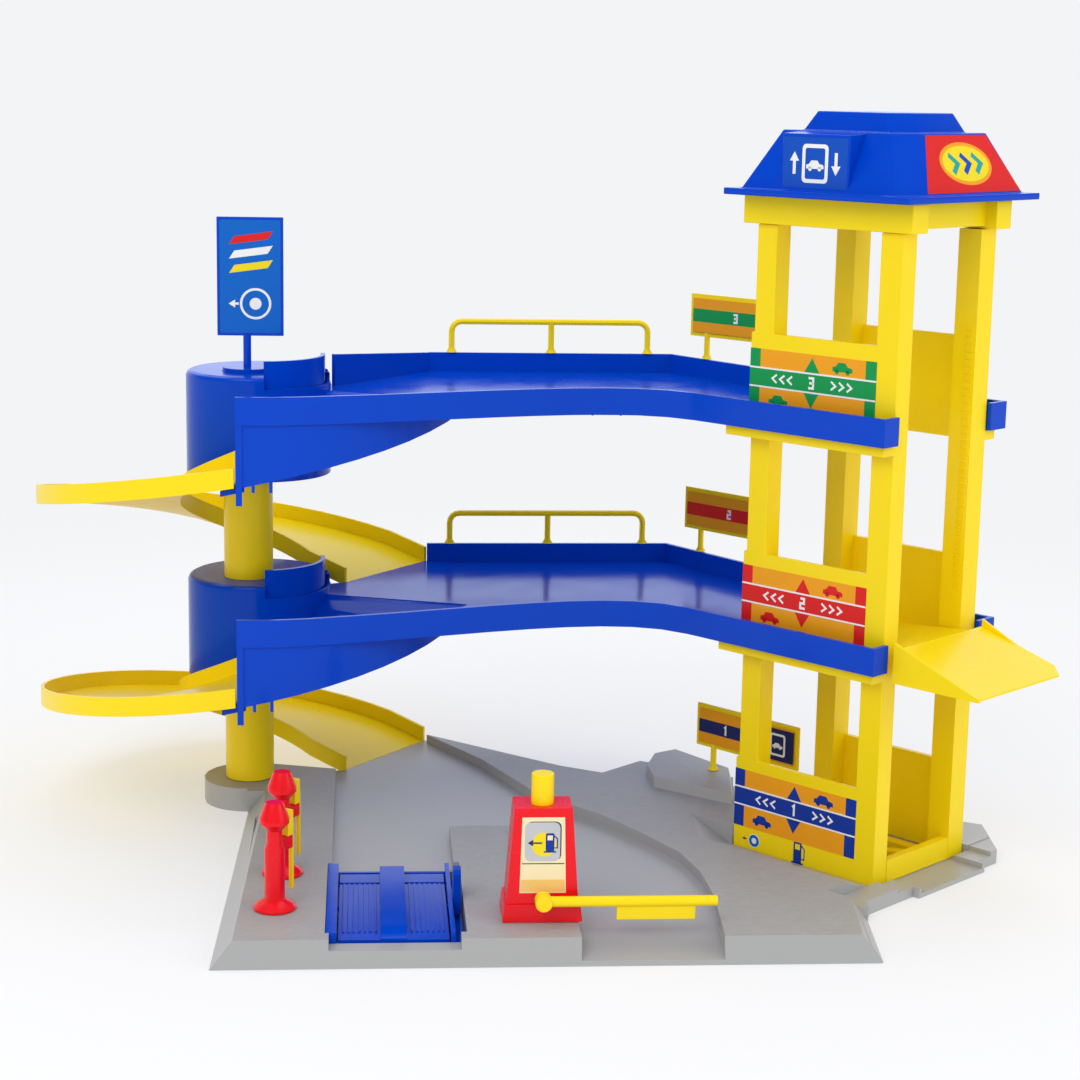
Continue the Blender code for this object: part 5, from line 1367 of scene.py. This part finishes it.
@dataclass
class Booth:
    """The booth's printed panel, on its leaning front face."""

    layout: Layout
    front: Point3 = (151.0, -257.0, 16.3)
    lean: float = 2.0
    height: float = 58.0
    ends: Point2 = (12.6, 51.5)
    halves: Point2 = (11.6, 10.6)
    split: float = 27.5
    rule: Point2 = (1.0, 0.5)
    patch_top: float = 19.5
    patch_inset: Point2 = (0.4, 0.7)
    patch_low: float = 0.6
    window: tuple[float, float, float, float] = (-9.2, 29.0, 8.4, 49.0)
    shadow: Point2 = (0.6, 0.4)
    window_corner: float = 3.0
    sun: Point3 = (0.4, 37.6, 6.2)
    pump: Point3 = (3.6, 34.0, 9.4)
    arrow_ends: Line2 = ((-0.6, 38.4), (-7.8, 38.4))
    arrow_size: Point2 = (0.8, 3.4)

    def build(self) -> None:
        """Builds the sticker with the pump and its arrow."""
        up = Vector((0.0, self.lean, self.height)).normalized()
        face = Face(self.layout.garage.point(*self.front), Vector((1.0, 0.0, 0.0)), up)
        sticker = Sticker("booth_panel", face)
        (low, high), (foot, head), split = self.ends, self.halves, self.split
        sticker.put(Ink.CREAM, 0, [(-foot, low), (foot, low), (head, high), (-head, high)])
        (inset, narrow), start = self.patch_inset, low + self.patch_low
        sticker.put(Ink.PEACH, 1, [
            (inset - foot, start), (foot - inset, start), (foot - narrow, self.patch_top),
            (narrow - foot, self.patch_top),
        ])
        inset, thick = self.rule
        rule = rectangle(inset - foot, split, foot - inset, split + thick)
        (x0, y0, x1, y1), (dx, dy), corner = self.window, self.shadow, self.window_corner
        shadow = rounded(x0 + dx, y0 + dy, x1 + dx, y1 + dy, corner)
        sticker.put(Ink.MIDNIGHT, 1, rule, shadow)
        sticker.put(Ink.SILVER, 2, rounded(*self.window, corner))
        sticker.put(Ink.LEMON, 3, disc(*self.sun, 30))
        sticker.put_pump(*self.pump, Ink.CREAM, 4)
        sticker.put(Ink.MIDNIGHT, 4, arrow(*self.arrow_ends, *self.arrow_size))
        sticker.make()


@dataclass(frozen=True)
class Lamp:
    """A soft square lamp: its place and its width in metres, and its power in watts."""

    name: str
    place: Point3
    width: float
    power: float


@dataclass
class Studio:
    """The pale floor, the soft lights and the camera at the photograph's angle."""

    layout: Layout
    backdrop: str = "F3F4F6"
    eye: Point3 = (61.69, -1348.08, 427.5)
    down: float = math.radians(11.32)
    right: float = math.radians(4.44)
    roll: float = math.radians(1.06)
    lens_pixels: float = 2310.79
    frame_pixels: float = 1080.0
    sensor: float = 36.0
    floor_half: float = 30.0
    floor_drop: float = 0.2 * MM
    fade: Point2 = (0.42, 1.3)
    floor_glow: float = 0.5
    sky_strength: float = 0.84
    sky: str = "F6F7FB"
    mirrored: str = "DCE4F6"
    mirrored_strength: Point2 = (0.12, 1.5)
    mirrored_from: Point2 = (0.1, 0.8)
    aim: Point3 = (0.0, 0.0, 0.18)
    lamps: tuple[Lamp, ...] = (
        Lamp("key_light", (-0.9, -1.5, 1.5), 1.2, 13.0),
        Lamp("fill_light", (1.6, -0.9, 0.9), 1.2, 6.5),
        Lamp("top_light", (0.1, 0.5, 1.9), 1.4, 7.0),
    )

    def floor(self) -> None:
        """Lays a large pale floor that keeps the object's shadow and fades into the backdrop."""
        shape = bmesh.new()
        bmesh.ops.create_grid(shape, x_segments=1, y_segments=1, size=self.floor_half)
        bmesh.ops.translate(shape, verts=shape.verts, vec=(0.0, 0.0, -self.floor_drop))
        material, tree, shader = new_tree("studio_floor")
        fill(tree, shader, {"Base Color": linear("FAFAFA"), "Roughness": 0.9, "Specular IOR Level": 0.05})
        reach = add_node(tree, "ShaderNodeVectorMath", {0: place_of(tree)}, operation="LENGTH")
        fade = mapped(tree, reach.outputs["Value"], self.fade, (self.floor_glow, 1.0), "SMOOTHERSTEP")
        glow = add_node(tree, "ShaderNodeEmission", {"Color": linear(self.backdrop), "Strength": 1.0})
        mixed = add_node(tree, "ShaderNodeMixShader", {0: fade, 1: shader.outputs[0], 2: glow.outputs[0]})
        out = next(node for node in tree.nodes if node.type == "OUTPUT_MATERIAL")
        fill(tree, out, {"Surface": mixed.outputs[0]})
        mesh_piece("studio_floor", shape, [material])

    def world(self) -> None:
        """Surrounds the scene with an even pale light, and shows the backdrop's colour to the camera.

        Reflections see a studio that is brightest behind the garage and dim in front of it.
        """
        world = bpy.data.worlds.new("studio_world")
        bpy.context.scene.world = world
        world.use_nodes = True
        tree = world.node_tree
        tree.nodes.clear()

        def light(colour: str, strength: float | Socket) -> Socket:
            """An even light of this colour."""
            values = {"Color": linear(colour), "Strength": strength}
            return add_node(tree, "ShaderNodeBackground", values).outputs[0]

        rays = add_node(tree, "ShaderNodeLightPath").outputs
        ahead = axis_of(tree, add_node(tree, "ShaderNodeTexCoord").outputs["Generated"], "Y")
        behind = mapped(tree, ahead, self.mirrored_from, self.mirrored_strength, "SMOOTHSTEP")
        surface = light(self.sky, self.sky_strength)
        for ray, other in (
            ("Is Glossy Ray", light(self.mirrored, behind)), ("Is Camera Ray", light(self.backdrop, 1.0))
        ):
            surface = add_node(tree, "ShaderNodeMixShader", {0: rays[ray], 1: surface, 2: other}).outputs[0]
        add_node(tree, "ShaderNodeOutputWorld", {"Surface": surface})

    def lights(self) -> None:
        """Hangs the soft square lamps, aimed at the garage's middle."""
        for lamp in self.lamps:
            data = bpy.data.lights.new(lamp.name, "AREA")
            data.size = lamp.width
            data.energy = lamp.power
            hung = bpy.data.objects.new(lamp.name, data)
            place = Vector(lamp.place)
            hung.location = place
            hung.rotation_mode = "QUATERNION"
            hung.rotation_quaternion = (Vector(self.aim) - place).to_track_quat("-Z", "Y")
            bpy.context.scene.collection.objects.link(hung)

    def camera(self) -> None:
        """Places the camera where the photograph was taken from."""
        data = bpy.data.cameras.new("photo_camera")
        data.sensor_width = self.sensor
        data.lens = self.lens_pixels / self.frame_pixels * data.sensor_width
        data.clip_start, data.clip_end = 0.05, 100.0
        camera = bpy.data.objects.new("photo_camera", data)
        bpy.context.scene.collection.objects.link(camera)
        right = Vector((math.cos(self.right), -math.sin(self.right), 0.0))
        ahead = Vector((math.sin(self.right), math.cos(self.right), 0.0))
        forward = ahead * math.cos(self.down) - UP * math.sin(self.down)
        up = ahead * math.sin(self.down) + UP * math.cos(self.down)
        side = right * math.cos(self.roll) + up * math.sin(self.roll)
        top = -right * math.sin(self.roll) + up * math.cos(self.roll)
        turn = Matrix((side, top, -forward)).transposed()
        camera.matrix_world = Matrix.Translation(self.layout.garage.point(*self.eye)) @ turn.to_4x4()
        bpy.context.scene.camera = camera

    def build(self) -> None:
        """Builds the whole studio."""
        bpy.context.scene.view_settings.view_transform = "Standard"
        self.floor()
        self.world()
        self.lights()
        self.camera()


@dataclass
class Mouldings:
    """The finishes of the rigid nodes that nothing replaces."""

    nodes: dict[str, Piece]
    racked: str = "tower_frame_back"
    replaced: tuple[str, ...] = (
        "base_plate", "tower_crown", "roof", "parking_sign", "fuel_pump_front", "fuel_pump_rear",
        "fuel_hose_front", "fuel_hose_rear",
    )

    def build(self) -> None:
        """Gives every node its plastic and softens its edges, but for the fine teeth of the rack."""
        for name, node in self.nodes.items():
            if name not in self.replaced:
                slot = wear(node, name, 0.0 if name == self.racked else EDGE)
                LOG.info("%s: %s plastic", name, slot.value)


def main() -> None:
    """Builds the studio and dresses the garage, piece by piece."""
    logging.basicConfig(level=logging.INFO, format="%(name)s: %(message)s")
    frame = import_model()
    layout = Layout()
    parts = [Studio(layout), Mouldings(frame["nodes"]), BaseMoulding(layout)]
    parts += [part(layout.tower) for part in (Crown, FlapKerbs)]
    parts += [part(layout) for part in (Pumps, DeckRibs)]
    parts += [part(layout.tower) for part in (LevelPanels, GroundSigns, LevelBoards, Roof)]
    parts += [part(layout) for part in (ParkingSign, ClosingWall, Booth)]
    for part in parts:
        part.build()


if __name__ == "__main__":
    main()
